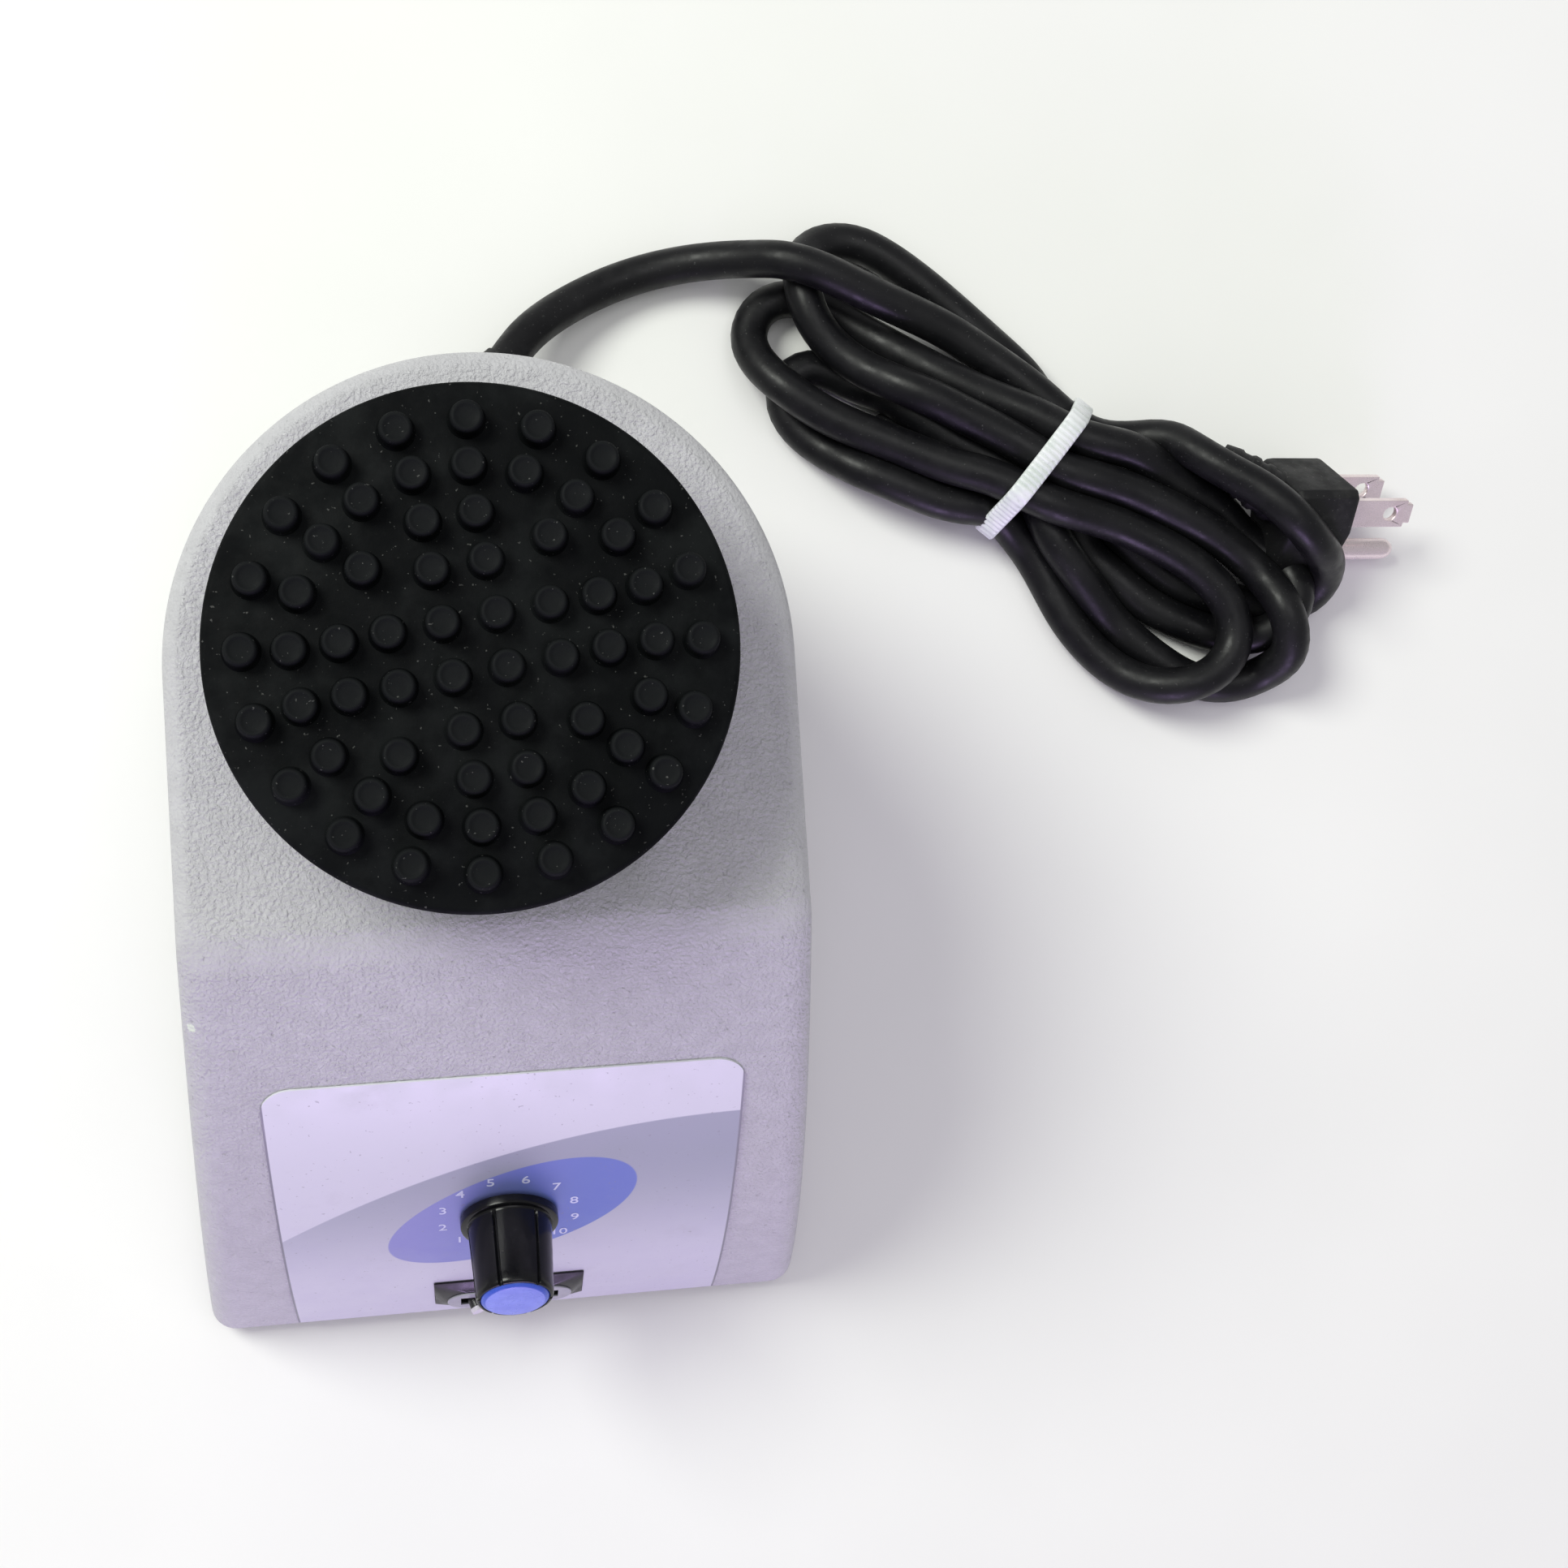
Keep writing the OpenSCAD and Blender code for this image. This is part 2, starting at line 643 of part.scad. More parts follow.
module strain_relief() {
    color([0.06, 0.06, 0.06]) {
        translate([3, 86, 14]) rotate([-90, 0, 0]) cylinder(r = 6.1, h = 8);
        translate([3, body_l / 2 - 0.2, 14]) rotate([-90, 0, 0]) cylinder(r = 7.6, h = 1.7);
        tube(fine(relief_route, 2), 6, cord_d / 2 + 0.5, 12);
    }
}

module cord_lead() {
    color([0.05, 0.05, 0.05]) tube(fine(lead_route, 2), cord_d / 2, cord_d / 2, 10);
}

module cord_hank() {
    left = [[86, 109.5, 24], [97, 95, 21]];
    right = [[168, 51, 25], [150, 49, 21]];
    color([0.07, 0.07, 0.07]) difference() {
        linear_extrude(height = hank_h) for (lobes = [left, right]) hull() {
            for (c = lobes) translate([c[0], c[1]]) circle(c[2]);
            translate(tie_spot) rotate(tie_deg) square([8, 34.4], center = true);
        }
        translate([160, 53.5, -1]) cube([60, 60, 60]);
    }
}

module cable_tie() {
    color([0.88, 0.9, 0.9]) translate([tie_spot[0], tie_spot[1], 0]) rotate([0, 0, tie_deg]) {
        translate([-2.4, 0, 10.6]) rotate([90, 0, 90]) linear_extrude(height = 4.8) difference() {
            stadium(37, 21.2);
            stadium(34.6, 18.8);
        }
        translate([-3.2, 17.2, 5]) cube([6.4, 4.6, 6.5]);
    }
}

// Puts children in the plug's own frame: +X along the blades, +Z from the earth pin to the blades
module on_plug() {
    translate(plug_spot) rotate([0, plug_dip, 0]) rotate([plug_roll, 0, 0]) children();
}

plug_face = [[-8.6, 6.5], [-10, 5.1], [-10, -3.5], [-6.2, -14], [-4.9, -15.2],
    [4.9, -15.2], [6.2, -14], [10, -3.5], [10, 5.1], [8.6, 6.5]];

module plug_body() {
    color([0.06, 0.06, 0.06]) {
        on_plug() translate([-15, 0, 0]) rotate([90, 0, 90]) linear_extrude(height = 15) polygon(plug_face);
        tube(fine(neck_route, 2), 6, cord_d / 2 + 0.4, 12);
    }
}

module plug_blades() {
    color([0.8, 0.78, 0.72]) on_plug() for (sy = [-1, 1]) difference() {
        union() {
            translate([0.02, sy * 6.35 - 0.75, -3.17]) cube([14.6, 1.5, 6.35]);
            translate([13, sy * 6.35 - 0.75, -2.3]) cube([3, 1.5, 4.6]);
        }
        translate([10.6, sy * 6.35, 0]) rotate([90, 0, 0]) cylinder(r = 1.6, h = 4, center = true);
    }
}

module plug_ground_pin() {
    color([0.8, 0.78, 0.72]) on_plug() translate([0.02, 0, -11.9]) rotate([0, 90, 0]) {
        cylinder(r = 2.39, h = 16.2);
        translate([0, 0, 16.2]) sphere(r = 2.38);
    }
}

housing();
base_plate();
rubber_feet();
foot_screws();
front_label();
switch_bezel();
switch_plate();
switch_body();
switch_lever();
lever_tip();
pot_body();
pot_bushing();
pot_nut();
pot_shaft();
knob_body();
knob_cap();
knob_pointer();
knob_set_screw();
splash_collar();
lower_bracket();
upper_bracket();
lower_bearing();
upper_bearing();
stator_stack();
motor_windings();
motor_bolts();
motor_nuts();
rubber_mounts();
motor_shaft();
rotor_core();
cooling_fan();
counterweight_hub();
hub_set_screw();
eccentric_pin();
head_bearing();
head_hub();
platform_plate();
platform_screws();
platform_pad();
thrust_button();
thrust_ball();
lift_spring();
touch_switch();
circuit_board();
board_standoffs();
heatsink();
capacitor();
terminal_block();
earth_terminal();
internal_wires();
strain_relief();
cord_lead();
cord_hank();
cable_tie();
plug_body();
plug_blades();
plug_ground_pin();
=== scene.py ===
"""Looks for the vortex mixer. Shape functions work in millimetres, and objects are in metres."""
import json
import math
import bpy
import bmesh
import numpy as np
from mathutils import Matrix, Vector


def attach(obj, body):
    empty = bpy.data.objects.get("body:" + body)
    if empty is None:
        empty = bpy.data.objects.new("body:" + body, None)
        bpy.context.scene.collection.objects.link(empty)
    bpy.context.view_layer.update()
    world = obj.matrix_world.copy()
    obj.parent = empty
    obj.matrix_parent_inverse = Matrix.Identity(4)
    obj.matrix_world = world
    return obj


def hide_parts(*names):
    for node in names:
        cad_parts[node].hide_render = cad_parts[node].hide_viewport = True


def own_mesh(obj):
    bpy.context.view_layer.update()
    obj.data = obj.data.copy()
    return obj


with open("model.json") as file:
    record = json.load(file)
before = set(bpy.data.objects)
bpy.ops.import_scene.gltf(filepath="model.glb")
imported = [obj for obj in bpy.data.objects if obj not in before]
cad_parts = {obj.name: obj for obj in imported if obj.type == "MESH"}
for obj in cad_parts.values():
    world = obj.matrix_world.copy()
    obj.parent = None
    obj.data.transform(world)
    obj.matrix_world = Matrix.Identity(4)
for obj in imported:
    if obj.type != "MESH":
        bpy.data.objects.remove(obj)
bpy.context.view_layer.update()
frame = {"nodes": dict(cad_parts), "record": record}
MM = 0.001

# ---- Sizes shared with the CAD, mm ----
BODY_W, BODY_L, BODY_H, FOOT_H = 121, 185, 105, 4
SIDE_LEAN, WALL, EDGE_R, CORNER_R = 7, 3, 3.5, 5
AXIS_Y = (BODY_L - BODY_W) / 2
TOP_DEG, FOOT_DEG = 36, 69
PANEL_R = (BODY_H - FOOT_H) / (math.cos(math.radians(TOP_DEG)) - math.cos(math.radians(FOOT_DEG)))
PANEL_CY = -BODY_L / 2 + PANEL_R * math.sin(math.radians(FOOT_DEG))
PANEL_CZ = FOOT_H - PANEL_R * math.cos(math.radians(FOOT_DEG))
KNOB_V, SWITCH_V = 53.3, 16.8
ORBIT_R, ORBIT_DEG, PAD_R, PAD_Z = 2.45, 200, 42.5, 131.6
PIN = (ORBIT_R * math.cos(math.radians(ORBIT_DEG)), AXIS_Y + ORBIT_R * math.sin(math.radians(ORBIT_DEG)))

# ---- Camera ----
camera_data = bpy.data.cameras.new("camera")
camera_data.sensor_width = 36
camera_data.lens = 52.72
camera_data.shift_x, camera_data.shift_y = 0.0026, 0.0024
camera_data.clip_start, camera_data.clip_end = 0.01, 20
camera = bpy.data.objects.new("camera", camera_data)
bpy.context.collection.objects.link(camera)
camera.location = (-0.011539, -0.014021, 0.495605)
camera.rotation_euler = (0.064194, -0.150117, -0.065076)
bpy.context.scene.camera = camera


# ---- Mesh helpers ----

def add_object(name, verts, faces, smooth_deg=35, uv=None):
    """Object from vertices in mm. Faces meeting at less than smooth_deg are shaded smooth."""
    mesh = bpy.data.meshes.new(name)
    mesh.from_pydata([(x * MM, y * MM, z * MM) for x, y, z in verts], [], faces)
    mesh.validate()
    bm = bmesh.new()
    bm.from_mesh(mesh)
    bmesh.ops.recalc_face_normals(bm, faces=bm.faces)
    bm.to_mesh(mesh)
    bm.free()
    if uv is not None:
        layer = mesh.uv_layers.new(name="map")
        for loop in mesh.loops:
            layer.data[loop.index].uv = uv[loop.vertex_index]
    mesh.polygons.foreach_set("use_smooth", [True] * len(mesh.polygons))
    mesh.set_sharp_from_angle(angle=math.radians(smooth_deg))
    obj = bpy.data.objects.new(name, mesh)
    bpy.context.collection.objects.link(obj)
    return obj


def grid_faces(rows, cols, closed=True, start=0):
    """Quads between rows of cols points each."""
    last = cols if closed else cols - 1
    return [(start + r * cols + c, start + r * cols + (c + 1) % cols,
             start + (r + 1) * cols + (c + 1) % cols, start + (r + 1) * cols + c)
            for r in range(rows - 1) for c in range(last)]


def loft(rings, caps=True, start=0):
    """(vertices, faces) of a skin through rings with the same number of points."""
    cols = len(rings[0])
    verts = [tuple(p) for ring in rings for p in ring]
    faces = grid_faces(len(rings), cols, True, start)
    if caps:
        faces.append(tuple(start + i for i in range(cols)))
        faces.append(tuple(start + (len(rings) - 1) * cols + i for i in range(cols)))
    return verts, faces


def lathe(profile, sides=96, place=None, radius_at=None):
    """Solid of revolution about +Z from (radius, height) pairs, moved by the matrix place."""
    rings = []
    for r, z in profile:
        ring = []
        for k in range(sides):
            a = 2 * math.pi * k / sides
            q = r if radius_at is None else radius_at(r, z, a)
            p = Vector((q * math.cos(a), q * math.sin(a), z))
            ring.append(tuple(place @ p if place else p))
        rings.append(ring)
    return rings


def joined(parts):
    """One (vertices, faces) out of several."""
    verts, faces = [], []
    for v, f in parts:
        base = len(verts)
        verts += v
        faces += [tuple(i + base for i in face) for face in f]
    return verts, faces


def sweep_rings(path, radii, sides=24):
    """Rings of a round tube along path, without twist."""
    path = np.array(path, float)
    heads = np.gradient(path, axis=0)
    heads /= np.linalg.norm(heads, axis=1)[:, None]
    side = np.cross(heads[0], (0, 0, 1))
    side /= np.linalg.norm(side)
    rings = []
    for p, h, r in zip(path, heads, radii):
        side = side - h * np.dot(side, h)
        side /= np.linalg.norm(side)
        up = np.cross(h, side)
        rings.append([tuple(p + r * (math.cos(a) * side + math.sin(a) * up))
                      for a in np.linspace(0, 2 * math.pi, sides, endpoint=False)])
    return rings


def on_panel(x, v, turn=0):
    """Matrix from a flat frame, +Z outward, to the curved panel at x across and v up along it, in mm."""
    deg = FOOT_DEG - math.degrees(v / PANEL_R)
    return (Matrix.Translation((x, PANEL_CY, PANEL_CZ)) @ Matrix.Rotation(math.radians(deg), 4, "X")
            @ Matrix.Translation((0, 0, PANEL_R)) @ Matrix.Rotation(math.radians(turn), 4, "Z"))


def panel_point(x, v, h):
    """Point h outside the panel at x across and v up along it."""
    a = math.radians(FOOT_DEG) - v / PANEL_R
    return (x, PANEL_CY - (PANEL_R + h) * math.sin(a), PANEL_CZ + (PANEL_R + h) * math.cos(a))


def piece(obj, body, slot, material, *nodes):
    """Finishes a new piece: its body, its material and the CAD nodes it stands for, which it hides; the slot
    is not used.
    """
    obj.data.materials.clear()
    obj.data.materials.append(material)
    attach(obj, body)
    if nodes:
        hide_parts(*nodes)
    return obj


def cut(obj, cutter_verts, cutter_faces):
    """Takes a closed shape away from obj."""
    tool = add_object("cutter", cutter_verts, cutter_faces)
    modifier = obj.modifiers.new("cut", "BOOLEAN")
    modifier.operation, modifier.solver, modifier.object = "DIFFERENCE", "EXACT", tool
    bpy.context.view_layer.objects.active = obj
    bpy.ops.object.modifier_apply(modifier=modifier.name)
    bpy.data.objects.remove(tool)


def block(x, y, z, place=None):
    """(vertices, faces) of a box from three (low, high) pairs."""
    verts = [Vector((a, b, c)) for c in z for b in y for a in x]
    verts = [tuple(place @ p if place else p) for p in verts]
    return verts, [(0, 1, 3, 2), (4, 6, 7, 5), (0, 4, 5, 1), (2, 3, 7, 6), (0, 2, 6, 4), (1, 5, 7, 3)]


def round_bar(r, low, high, place=None, sides=64):
    return loft(lathe([(r, low), (r, high)], sides, place))


# ---- Materials ----

class Shader:
    """A Principled material with procedural detail, in object space unless told otherwise."""

    def __init__(self, name, colour, rough, metal=0.0, specular=0.5):
        self.material = bpy.data.materials.new(name)
        self.material.use_nodes = True
        self.tree = self.material.node_tree
        self.shader = self.tree.nodes["Principled BSDF"]
        self.set("Base Color", (*colour, 1))
        self.set("Roughness", rough)
        self.set("Metallic", metal)
        self.set("Specular IOR Level", specular)
        self.place = self.add("ShaderNodeTexCoord").outputs["Object"]
        self.bump = None

    def set(self, socket, value):
        self.shader.inputs[socket].default_value = value

    def add(self, kind, **values):
        node = self.tree.nodes.new(kind)
        for key, value in values.items():
            setattr(node, key, value)
        return node

    def link(self, out, into):
        self.tree.links.new(out, into)
        return into

    def stretch(self, scale):
        node = self.add("ShaderNodeMapping")
        node.inputs["Scale"].default_value = scale
        self.link(self.place, node.inputs["Vector"])
        return node.outputs["Vector"]

    def noise(self, scale, detail=3.0, rough=0.55, source=None):
        node = self.add("ShaderNodeTexNoise")
        node.inputs["Scale"].default_value = scale
        node.inputs["Detail"].default_value = detail
        node.inputs["Roughness"].default_value = rough
        self.link(source or self.place, node.inputs["Vector"])
        return node.outputs["Fac"]

    def cells(self, scale):
        node = self.add("ShaderNodeTexVoronoi", feature="SMOOTH_F1")
        node.inputs["Scale"].default_value = scale
        self.link(self.place, node.inputs["Vector"])
        return node.outputs["Distance"]

    def ramp(self, value, low, high, out_low=0.0, out_high=1.0, smooth=True):
        node = self.add("ShaderNodeMapRange", interpolation_type="SMOOTHSTEP" if smooth else "LINEAR")
        for key, number in (("From Min", low), ("From Max", high), ("To Min", out_low), ("To Max", out_high)):
            node.inputs[key].default_value = number
        self.link(value, node.inputs["Value"])
        return node.outputs["Result"]

    def spot(self, centre, reach):
        """1 in a small ragged mark round a point of the object, 0 elsewhere."""
        node = self.add("ShaderNodeVectorMath", operation="DISTANCE")
        self.link(self.place, node.inputs[0])
        node.inputs[1].default_value = centre
        ragged = self.math("MULTIPLY", self.noise(1500, 3), reach)
        return self.ramp(self.math("ADD", node.outputs["Value"], ragged), reach * 1.3, reach * 1.5, 1, 0)

    def math(self, operation, a, b=0.0):
        node = self.add("ShaderNodeMath", operation=operation)
        for socket, value in zip(node.inputs, (a, b)):
            if isinstance(value, (int, float)):
                socket.default_value = value
            else:
                self.link(value, socket)
        return node.outputs["Value"]

    def mix(self, factor, a, b):
        node = self.add("ShaderNodeMix", data_type="RGBA")
        self.link(factor, node.inputs["Factor"])
        for socket, value in ((node.inputs[6], a), (node.inputs[7], b)):
            if isinstance(value, (tuple, list)):
                socket.default_value = (*value[:3], 1)
            else:
                self.link(value, socket)
        return node.outputs[2]

    def colour(self, source):
        self.link(source, self.shader.inputs["Base Color"])

    def roughness(self, source):
        self.link(source, self.shader.inputs["Roughness"])

    def relief(self, height, depth):
        """Adds a bump of that depth in metres on top of the ones before."""
        node = self.add("ShaderNodeBump")
        node.inputs["Strength"].default_value = 1.0
        node.inputs["Distance"].default_value = depth
        self.link(height, node.inputs["Height"])
        if self.bump:
            self.link(self.bump, node.inputs["Normal"])
        self.bump = node.outputs["Normal"]
        self.link(self.bump, self.shader.inputs["Normal"])


def shade(colour, factor):
    return tuple(min(1.0, c * factor) for c in colour)


DUST = (0.45, 0.44, 0.42)


def moulded(name, colour, rough, grain=2600, depth=0.00002, blotch=0.12, dust=0.0, specular=0.5):
    """Rubber or plastic: fine grain, uneven gloss, faint blotches and specks of dust."""
    s = Shader(name, colour, rough, specular=specular)
    big = s.noise(70, 4)
    tone = s.mix(s.ramp(big, 0.35, 0.65), shade(colour, 1 - blotch), shade(colour, 1 + blotch))
    if dust:
        specks = s.ramp(s.noise(1500, 2, 0.4), 0.70 - 0.06 * dust, 0.76)
        smear = s.ramp(s.noise(110, 5, 0.6), 0.52, 0.75, 0, 0.22 * dust)
        tone = s.mix(s.math("MAXIMUM", s.math("MULTIPLY", specks, 0.55 * dust), smear), tone, DUST)
    s.colour(tone)
    s.roughness(s.ramp(s.noise(260, 4), 0.3, 0.7, max(0.02, rough - 0.09), min(1, rough + 0.09)))
    s.relief(s.noise(grain, 3, 0.6), depth)
    return s.material


def metal(name, colour, rough, stretch=(1, 1, 30), grain=900, depth=0.000012, stain=(0.5, 0.46, 0.4),
          stained=0.12, metallic=1.0):
    """Drawn, turned or cast metal: grain along one way, dull patches and a few marks."""
    s = Shader(name, colour, rough, metal=metallic)
    lines = s.noise(grain, 3, 0.6, s.stretch(stretch))
    patch = s.noise(90, 5, 0.6)
    tone = s.mix(s.ramp(lines, 0.3, 0.7), shade(colour, 0.9), shade(colour, 1.06))
    s.colour(s.mix(s.ramp(patch, 0.5, 0.72, 0, stained), tone, stain))
    s.roughness(s.ramp(patch, 0.3, 0.7, max(0.05, rough - 0.08), rough + 0.12))
    s.relief(lines, depth)
    return s.material


# Metres: heights where the rounded top edge begins and ends, and two marks in the paint.
EDGE_FROM, EDGE_TO = (0.1018, 0.1034), (0.1046, 0.1049)
PALE_CHIP, DARK_MARK = (-0.0530, -0.0275, 0.0950), (0.0580, -0.0868, 0.0175)


def wrinkle_paint():
    """Off-white wrinkle enamel: bumps under a millimetre, pits with painted shade in them, two marks,
    smoother at the rounded edge.
    """
    colour = (0.49, 0.487, 0.51)
    s = Shader("wrinkle_paint", colour, 0.42, specular=0.4)
    split = s.add("ShaderNodeSeparateXYZ")
    s.link(s.place, split.inputs["Vector"])
    height = split.outputs["Z"]
    band = s.math("MULTIPLY", s.ramp(height, *EDGE_FROM), s.ramp(height, *EDGE_TO, 1, 0))
    amount = s.ramp(band, 0, 1, 1.0, 0.6)
    warp = s.noise(260, 2)
    bumps = s.ramp(s.noise(1500, 3, 0.55), 0.34, 0.68)
    cells = s.ramp(s.cells(1350), 0.75, 0.1, 0, 1)
    pits = s.ramp(s.noise(800, 3, 0.6), 0.65, 0.74)
    worn = s.ramp(s.noise(34, 5, 0.6), 0.45, 0.7)
    body = s.math("ADD", s.math("MULTIPLY", bumps, 0.55), s.math("MULTIPLY", cells, 0.45))
    body = s.math("SUBTRACT", body, s.math("MULTIPLY", pits, 0.5))
    tone = s.mix(s.ramp(warp, 0.3, 0.7), shade(colour, 0.96), shade(colour, 1.03))
    tone = s.mix(s.math("MULTIPLY", worn, 0.12), tone, (0.40, 0.40, 0.38))
    # painted shade: the colour is darkened in the pits, where the bump sinks
    tone = s.mix(s.math("MULTIPLY", pits, 0.35), tone, (0.27, 0.27, 0.28))
    tone = s.mix(s.spot(PALE_CHIP, 0.0013), tone, (0.66, 0.72, 0.62))
    s.colour(s.mix(s.spot(DARK_MARK, 0.0008), tone, (0.10, 0.08, 0.11)))
    s.roughness(s.ramp(bumps, 0, 1, 0.50, 0.38))
    s.relief(s.math("MULTIPLY", body, amount), 0.00026)
    s.relief(s.noise(4200, 2), 0.000012)
    return s.material


def uv_shape(s, uv, centre, half, turn_deg, edge):
    """1 inside an ellipse on the label, 0 outside, with a thin soft edge. All in mm on the label."""
    node = s.add("ShaderNodeMapping", vector_type="POINT")
    a = math.radians(turn_deg)
    c, n = math.cos(a), math.sin(a)
    x, y = c * centre[0] - n * centre[1], n * centre[0] + c * centre[1]
    node.inputs["Location"].default_value = (-x, -y, 0)
    node.inputs["Rotation"].default_value = (0, 0, a)
    s.link(uv, node.inputs["Vector"])
    size = s.add("ShaderNodeMapping", vector_type="POINT")
    size.inputs["Scale"].default_value = (1 / half[0], 1 / half[1], 0)
    s.link(node.outputs["Vector"], size.inputs["Vector"])
    length = s.add("ShaderNodeVectorMath", operation="LENGTH")
    s.link(size.outputs["Vector"], length.inputs[0])
    return s.ramp(length.outputs["Value"], 1 - edge, 1 + edge, 1, 0, smooth=False)


def label_print():
    """Printed label: pale field over grey, a tilted blue oval behind the dial, darker towards the right from
    a painted shadow of the knob, and a thin dark edge.
    """
    s = Shader("label_print", (0.8, 0.8, 0.85), 0.36, specular=0.45)
    uv = s.add("ShaderNodeTexCoord").outputs["UV"]
    split = s.add("ShaderNodeSeparateXYZ")
    s.link(uv, split.inputs["Vector"])
    x, v = split.outputs["X"], split.outputs["Y"]
    below = uv_shape(s, uv, (45, -49.5), (132.4, 132.4), 0, 0.0012)
    oval = uv_shape(s, uv, (0.5, 53.2), (26.6, 14.3), -33, 0.006)
    rim = s.ramp(s.math("ABSOLUTE", x), 42.55, 42.65, 0, 1, smooth=False)
    pale = s.mix(s.ramp(v, 20, 95), (0.60, 0.60, 0.66), (0.62, 0.63, 0.67))
    grey = s.mix(s.ramp(v, 25, 75), (0.55, 0.55, 0.62), (0.31, 0.33, 0.39))
    blotch = s.noise(140, 4)
    tone = s.mix(below, pale, grey)
    # the printed blue oval, lighter at the left and darker at the right: the darkening is a painted shadow of
    # the knob
    blue = s.mix(s.ramp(x, -22, 16), (0.23, 0.235, 0.52), (0.115, 0.165, 0.49))
    tone = s.mix(oval, tone, blue)
    tone = s.mix(rim, tone, (0.2, 0.2, 0.23))
    smudge = s.ramp(s.noise(90, 5, 0.65), 0.55, 0.8, 0, 0.14)
    specks = s.math("MULTIPLY", s.ramp(s.noise(1300, 2, 0.4), 0.70, 0.76), 0.5)
    tone = s.mix(smudge, tone, (0.30, 0.29, 0.30))
    s.colour(s.mix(specks, tone, (0.22, 0.22, 0.24)))
    s.roughness(s.ramp(blotch, 0.3, 0.7, 0.30, 0.44))
    s.relief(s.noise(1100, 3, 0.5), 0.000018)
    return s.material


# ---- Cord route, mm ----
CORD_D = 8.1
CORD_EXIT = (10.2, 105.5, 12.9)
TIE = np.array([125.0, 80.0])
TIE_ALONG = np.array([0.66, 0.75])
HANK_ALONG = np.array([0.75, -0.66])


def slot_points(across, height, way):
    """Two points either side of the tie, for a strand at that place in the bundle."""
    return [tuple(TIE + TIE_ALONG * across + HANK_ALONG * (way * step)) + (height,) for step in (-4.5, 4.5)]


def cord_route():
    """Points along the cord's middle, from the strain relief through the hank to the plug's neck."""
    lead = [CORD_EXIT, (12.5, 108.8, 12.3), (16.6, 113.5, 11), (23.1, 118.3, 9), (30.1, 122.3, 7),
            (38, 125.6, 6.2), (48.5, 127.9, 7), (58, 128.1, 10), (66.5, 126.6, 14.5), (75, 123.8, 18),
            (85, 119.6, 19), (96, 115, 16),
            (107, 110.5, 13.5), (117, 103.5, 12), (126, 97, 11.5)]
    lobe_b = [(147.5, 84.5, 13), (154.5, 81, 17), (161, 77.5, 21), (167, 73.8, 24), (173, 69.7, 24.5),
              (179.5, 64.6, 22), (186, 59.5, 17), (190.5, 54.5, 10.5), (191, 49, 5.5), (186.5, 45.5, 4.1),
              (180, 45, 4.1), (173, 46.5, 4.1),
              (165, 50, 4.1), (157, 54, 4.1), (149.5, 61, 4.1), (142, 67, 4.1)]
    fold_4 = [(113, 76, 4.1), (103, 77, 4.1), (94, 79, 4.1), (86, 83, 4.1), (82, 90, 4.1), (87, 95, 4.1),
              (95, 94, 4.1), (103, 90, 5), (112, 84.5, 8)]
    lobe_c = [(132, 67, 9), (137, 60, 6), (143, 53.5, 4.1), (150, 49, 4.1), (158, 45.5, 4.1), (166, 43, 4.5),
              (174, 42, 5), (181, 44, 7.5), (185, 50, 11), (182, 58, 13), (176, 65, 14), (168, 71, 15),
              (160, 76, 16), (151, 80, 17), (143, 83, 18)]
    fold_1 = [(120, 91.5, 17.5), (111, 97, 15), (102, 102.5, 13), (95, 108, 9.5), (89, 112.5, 6.5),
              (83, 117, 4.5), (76, 121, 4.1), (69, 121.5, 4.1), (64, 117.5, 4.1), (63.5, 111, 5.5),
              (66, 104.5, 8.5),
              (71, 98.5, 11.5), (78, 93, 13.5), (87, 88, 15), (97, 83.5, 16), (108, 78.5, 17)]
    lobe_e = [(137, 68.5, 18), (145, 64.5, 17.5), (153, 60, 16.5), (160.5, 54, 16), (166, 47, 15),
              (167.5, 39.5, 14), (163, 33, 13), (156, 30.5, 12), (149, 31, 9), (143, 34.5, 6),
              (138, 40.5, 4.3), (132.5, 48, 4.1), (128, 56, 4.5)]
    fold_3 = [(110, 71, 10), (100, 75, 8), (91, 79.5, 6.5), (82, 85, 5.5), (74, 91, 4.3), (68.5, 98, 4.1),
              (68, 105, 4.1), (73, 109, 4.1), (80, 106, 4.1), (87, 100.5, 4.1), (96, 94, 5), (106, 87, 8)]
    lobe_d = [(128.5, 66, 9), (132, 59, 7), (136.5, 52, 5), (142, 45, 4.1), (148, 39, 4.1), (155, 34, 4.1),
              (163, 30.5, 4.1), (171, 31, 4.1), (178, 35, 4.5), (180, 42.5, 7), (177, 50, 11), (171, 57, 14),
              (163, 63, 16), (154.5, 68, 17), (145.5, 72, 18)]
    fold_back = [(111, 88.5, 17.5), (102, 93, 16), (93.5, 98, 14.5), (86, 103.5, 13), (79.5, 110, 12.5),
                 (76, 117, 12), (75.5, 124, 9.5), (77.5, 130.5, 5.5), (83, 134, 4.2), (90, 132.5, 4.1),
                 (97.5, 128, 4.1), (105, 122, 4.1), (112, 115.5, 4.1), (120, 107.5, 4.1), (128, 99.5, 4.1)]
    tail = [(141, 88, 4.1), (147, 86, 4.6), (153.5, 83, 8), (159.5, 81.2, 11.5), (165.5, 78.5, 14.6)]
    return (lead + slot_points(12.3, 11.1, 1) + lobe_b + slot_points(0, 4.1, -1) + fold_4
            + slot_points(4.1, 11.1, 1) + lobe_c + slot_points(8.2, 18.2, -1) + fold_1
            + slot_points(-8.2, 18.2, 1) + lobe_e + slot_points(-12.3, 11.1, -1) + fold_3
            + slot_points(-4.1, 11.1, 1) + lobe_d + slot_points(0, 18.2, -1) + fold_back
            + slot_points(13, 4.1, 1) + tail)


NECK = [(180.5, 69.4, 15.4), (177, 70.8, 16), (173.5, 73, 16.3), (169.5, 76, 16), (165.5, 78.5, 14.6)]


